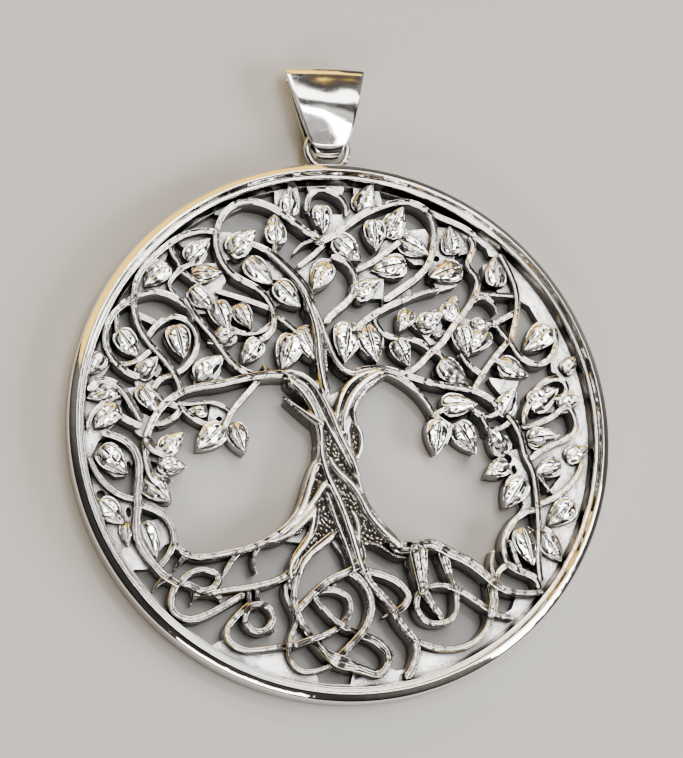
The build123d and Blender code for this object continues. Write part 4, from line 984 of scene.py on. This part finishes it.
strip = [loop_place(0)]
for step in range(1, loop_turns + 1):
    spot = loop_place(2 * pi * step / loop_turns)
    start = strip[-1]
    parts = max(1, round((spot - start).length / strip_spacing))
    strip += [start.lerp(spot, part / parts) for part in range(1, parts + 1)]
strip.pop()
bend, end = BAIL_ARCS[0], BAIL_ARCS[-1]
between = [i for i, spot in enumerate(strip) if bend.y < spot.x < end.y]
for _ in range(easing_rounds):
    eased = [(strip[i - 1] + strip[i + 1]) / 2 for i in between]
    for i, spot in zip(between, eased):
        strip[i] = spot
for i in between:
    share = (strip[i].x - bend.y) / (end.y - bend.y)
    strip[i].y += bail_bulge * sin(pi * share) if strip[i].y > bend.z else 0
print("the loop of the bail has", len(strip), "places")

# %% [markdown]
# Seen close, the bail is a mirror, but not a perfect one. The sheet is slightly wavy from bending,
# every 3.5 mm or so, and fine scratches from wear soften the mirror in patches. Real scratches are
# a few hundredths of a millimetre wide and are drawn at 0.4 mm so that they show.

# %% Sheet silver, mirror polished
sheet_silver, tree, shader = new_material("sheet sterling silver, mirror polished")
shader.inputs["Metallic"].default_value = 1
shader.inputs["Base Color"].default_value = linear("#F6F2EC")
place = add_node(tree, "TexCoord").outputs["Object"]
waves = add_node(tree, "TexNoise", {"Vector": place, "Scale": 1 / (3.5 * mm), "Detail": 1})
scratches = add_node(tree, "TexNoise", {"Vector": place, "Scale": 1 / (0.4 * mm), "Detail": 4})
shine = add_node(tree, "MapRange", {"Value": scratches.outputs["Fac"], "To Min": 0.03, "To Max": 0.12})
tree.links.new(shine.outputs["Result"], shader.inputs["Roughness"])
relief = add_node(tree, "Bump", {"Height": waves.outputs["Fac"], "Distance": 0.12 * mm})
tree.links.new(relief.outputs["Normal"], shader.inputs["Normal"])
print("finish:", sheet_silver.name)

# %% [markdown]
# The strip is a grid. Its rows run round the loop and its columns across the strip, whose long
# edges curl in a little. Solidify then gives it the thickness of the sheet, inwards, and Bevel
# softens its cut edges.

# %% Strip round the loop
edge_curl = 0.1
bpy.ops.mesh.primitive_grid_add(x_subdivisions=16, y_subdivisions=len(strip), size=2)
bail = bpy.context.object
around = sorted({round(v.co.y, 4) for v in bail.data.vertices})
rises, halves = zip(*BAIL_SIDES)
heart = Vector((BAIL_ARCS[1].y, BAIL_ARCS[1].z))
for v in bail.data.vertices:
    t = v.co.x
    spot = strip[around.index(round(v.co.y, 4)) % len(strip)]
    inward = (heart - spot).normalized() * edge_curl * t * t
    share = bail_back_share + (1 - bail_back_share) * spot.y / bail_height
    half = float(np.interp(spot.x - bail_bottom_y, rises, halves)) * share
    v.co = (t * half * mm, (spot.x + inward.x) * mm, (spot.y + inward.y) * mm)
print("the strip is", round(2 * halves[-1], 1), "mm wide at the top")

# %% Thickness and soft edges of the bail
only(bail)
bpy.ops.object.mode_set(mode="EDIT")
bpy.ops.mesh.select_all(action="SELECT")
bpy.ops.mesh.remove_doubles(threshold=0.002 * mm)
bpy.ops.mesh.normals_make_consistent(inside=False)
bpy.ops.object.mode_set(mode="OBJECT")
sheet = bail.modifiers.new("sheet", "SOLIDIFY")
sheet.thickness = bail_wall * mm
sheet.offset = -1
soft = bail.modifiers.new("soft edges", "BEVEL")
soft.width = 0.1 * mm
soft.segments = 3
soft.angle_limit = radians(50)
bpy.ops.object.modifier_apply(modifier="sheet")
bpy.ops.object.modifier_apply(modifier="soft edges")
finish_piece(bail, "bail_strip", "bail", sheet_silver, 50)
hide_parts("bail")

# %% [markdown]
# ## Floor
# The pendant lies on plain pale paper. Paper is dull and shows no reflections, so those of the
# silver stand out from it.

# %% Floor
floor_gap = 0.02
bpy.ops.mesh.primitive_plane_add(size=6, location=(0, 0, -floor_gap * mm))
floor = bpy.context.object
floor.name = "floor"
paper, tree, shader = new_material("plain pale paper")
shader.inputs["Base Color"].default_value = linear("#CBC8C4")
shader.inputs["Roughness"].default_value = 0.8
floor.data.materials.append(paper)
print("the floor lies", floor_gap, "mm under the pendant")

# %% [markdown]
# ## Lights
# Silver has hardly a colour of its own and shows what stands round it. So the lights are soft
# cards at the heights that the level tops, the leaning leaves and the bail mirror. Two narrow
# windows high up give white lines on what is nearly level, two warm lights low down give the gold
# on the slopes of rim, leaves and bail that face them, and the other cards fill the pale faces.

# %% Soft lights
light_distance = 0.5


def soft_light(name, azimuth, elevation, size, power, colour="#FFFFFF"):
    """An area light aimed at the disc. Azimuth is counted from +X towards +Y."""
    data = bpy.data.lights.new(name, "AREA")
    data.shape = "RECTANGLE"
    data.size, data.size_y = size
    data.energy = power
    data.color = linear(colour)[:3]
    light = add_object(name, data)
    turn, rise = radians(azimuth), radians(elevation)
    away = Vector((cos(rise) * cos(turn), cos(rise) * sin(turn), sin(rise)))
    light.location = away * light_distance
    light.rotation_euler = away.to_track_quat("Z", "Y").to_euler()


soft_light("window", 52, 70, (0.24, 0.04), 0.7)
soft_light("upper window", 20, 82, (0.04, 0.2), 0.5)
soft_light("warm wall", 112, 23, (0.62, 0.28), 1.2, "#FFD04E")
soft_light("warm lamp", 72, 37, (0.14, 0.13), 0.13, "#FFD04E")
soft_light("upper card", 74, 54, (0.36, 0.06), 0.5)
soft_light("side card", -20, 30, (0.36, 0.16), 2.6)
soft_light("low card", -110, 30, (0.3, 0.1), 1.4, "#FFF6EA")
print(len(bpy.data.lights), "lights, each", light_distance, "m away")

# %% [markdown]
# ## Room
# The room is a ramp of greys by height: mid tones low down, a dark band above them, and a bright
# band near the top with a dark middle. A mirror turns the steps of the ramp into the dark and white
# bands of polished silver, and a ramp can be set to them more easily than a picture of a room. A
# coarse noise shifts the steps, so that the bands aren't too even, and one side of the room is
# darker, so that leaves leaning to it go black.

# %% Tones of the room by height
world = bpy.data.worlds.new("room")
bpy.context.scene.world = world
world.use_nodes = True
tree = world.node_tree
heading = add_node(tree, "TexCoord").outputs["Generated"]
height = add_node(tree, "SeparateXYZ", {"Vector": heading}).outputs["Z"]
clutter = add_node(tree, "TexNoise", {"Vector": heading, "Scale": 3.2, "Detail": 1}).outputs["Fac"]
shift = add_node(tree, "Math", {0: clutter, 1: 0.34, 2: -0.17}, operation="MULTIPLY_ADD").outputs[0]
level = add_node(tree, "Math", {0: height, 1: shift}, operation="ADD").outputs[0]
room = add_node(tree, "ValToRGB", {"Fac": level})
room_tones = [
    (0.0, "#8C8A88"), (0.3, "#4A4846"), (0.5, "#77746F"), (0.66, "#9A9894"), (0.74, "#4A4848"),
    (0.84, "#2C2A2C"), (0.88, "#2C2A2C"), (0.92, "#F4F2EE"), (0.955, "#FFFFFF"), (0.98, "#8A8886"),
    (1.0, "#2E2C2E"),
]
while len(room.color_ramp.elements) < len(room_tones):
    room.color_ramp.elements.new(0.5)
for stop, (at, tone) in zip(room.color_ramp.elements, room_tones):
    stop.position = at
    stop.color = linear(tone)
print("the room has", len(room_tones), "tones")

# %% Darker side of the room
dark_heading = (-0.64, -0.76, 0)
toward_dark = add_node(
    tree, "VectorMath", {0: heading, 1: dark_heading}, operation="DOT_PRODUCT"
).outputs["Value"]
open_side = add_node(
    tree, "MapRange",
    {"Value": toward_dark, "From Min": 0.1, "From Max": 0.5, "To Min": 1, "To Max": 0.12},
).outputs["Result"]
tones = add_node(
    tree, "Mix",
    {"Factor": open_side, "A": linear("#161416"), "B": room.outputs["Color"]},
    data_type="RGBA",
)
background = tree.nodes["Background"]
tree.links.new(tones.outputs["Result"], background.inputs["Color"])
background.inputs["Strength"].default_value = 1.0
print("the darker side lies towards", dark_heading)

# %% [markdown]
# ## Camera
# The camera was fitted to the ellipse of the rim. It stands some 17 cm away and looks steeply down,
# a little rolled. Its focal length was found in pixels of a picture 758 pixels high, so it is
# turned to millimetres on a 36 mm sensor.

# %% Camera
camera_turn, camera_rise, camera_roll = -0.706266, 1.243644, 0.674284
camera_distance = 166.233
camera_target = Vector((0.092, 4.0895, 1.4))
focal_pixels = 2020
picture_pixels = 758
sensor = 36
level_share = cos(camera_rise)
back = Vector((sin(camera_turn) * level_share, -cos(camera_turn) * level_share, sin(camera_rise)))
level = (-back).cross(Vector((0, 0, 1))).normalized()
upright = level.cross(-back)
right = level * cos(camera_roll) + upright * sin(camera_roll)
up = upright * cos(camera_roll) - level * sin(camera_roll)
camera = add_object("camera", bpy.data.cameras.new("camera"))
camera.data.sensor_width = sensor
camera.data.lens = focal_pixels * sensor / picture_pixels
camera.data.clip_start = 0.01
standpoint = Matrix.Translation((camera_target + back * camera_distance) * mm)
camera.matrix_world = standpoint @ Matrix((right, up, back)).transposed().to_4x4()
bpy.context.scene.camera = camera
print("the lens is", round(camera.data.lens, 1), "mm long")
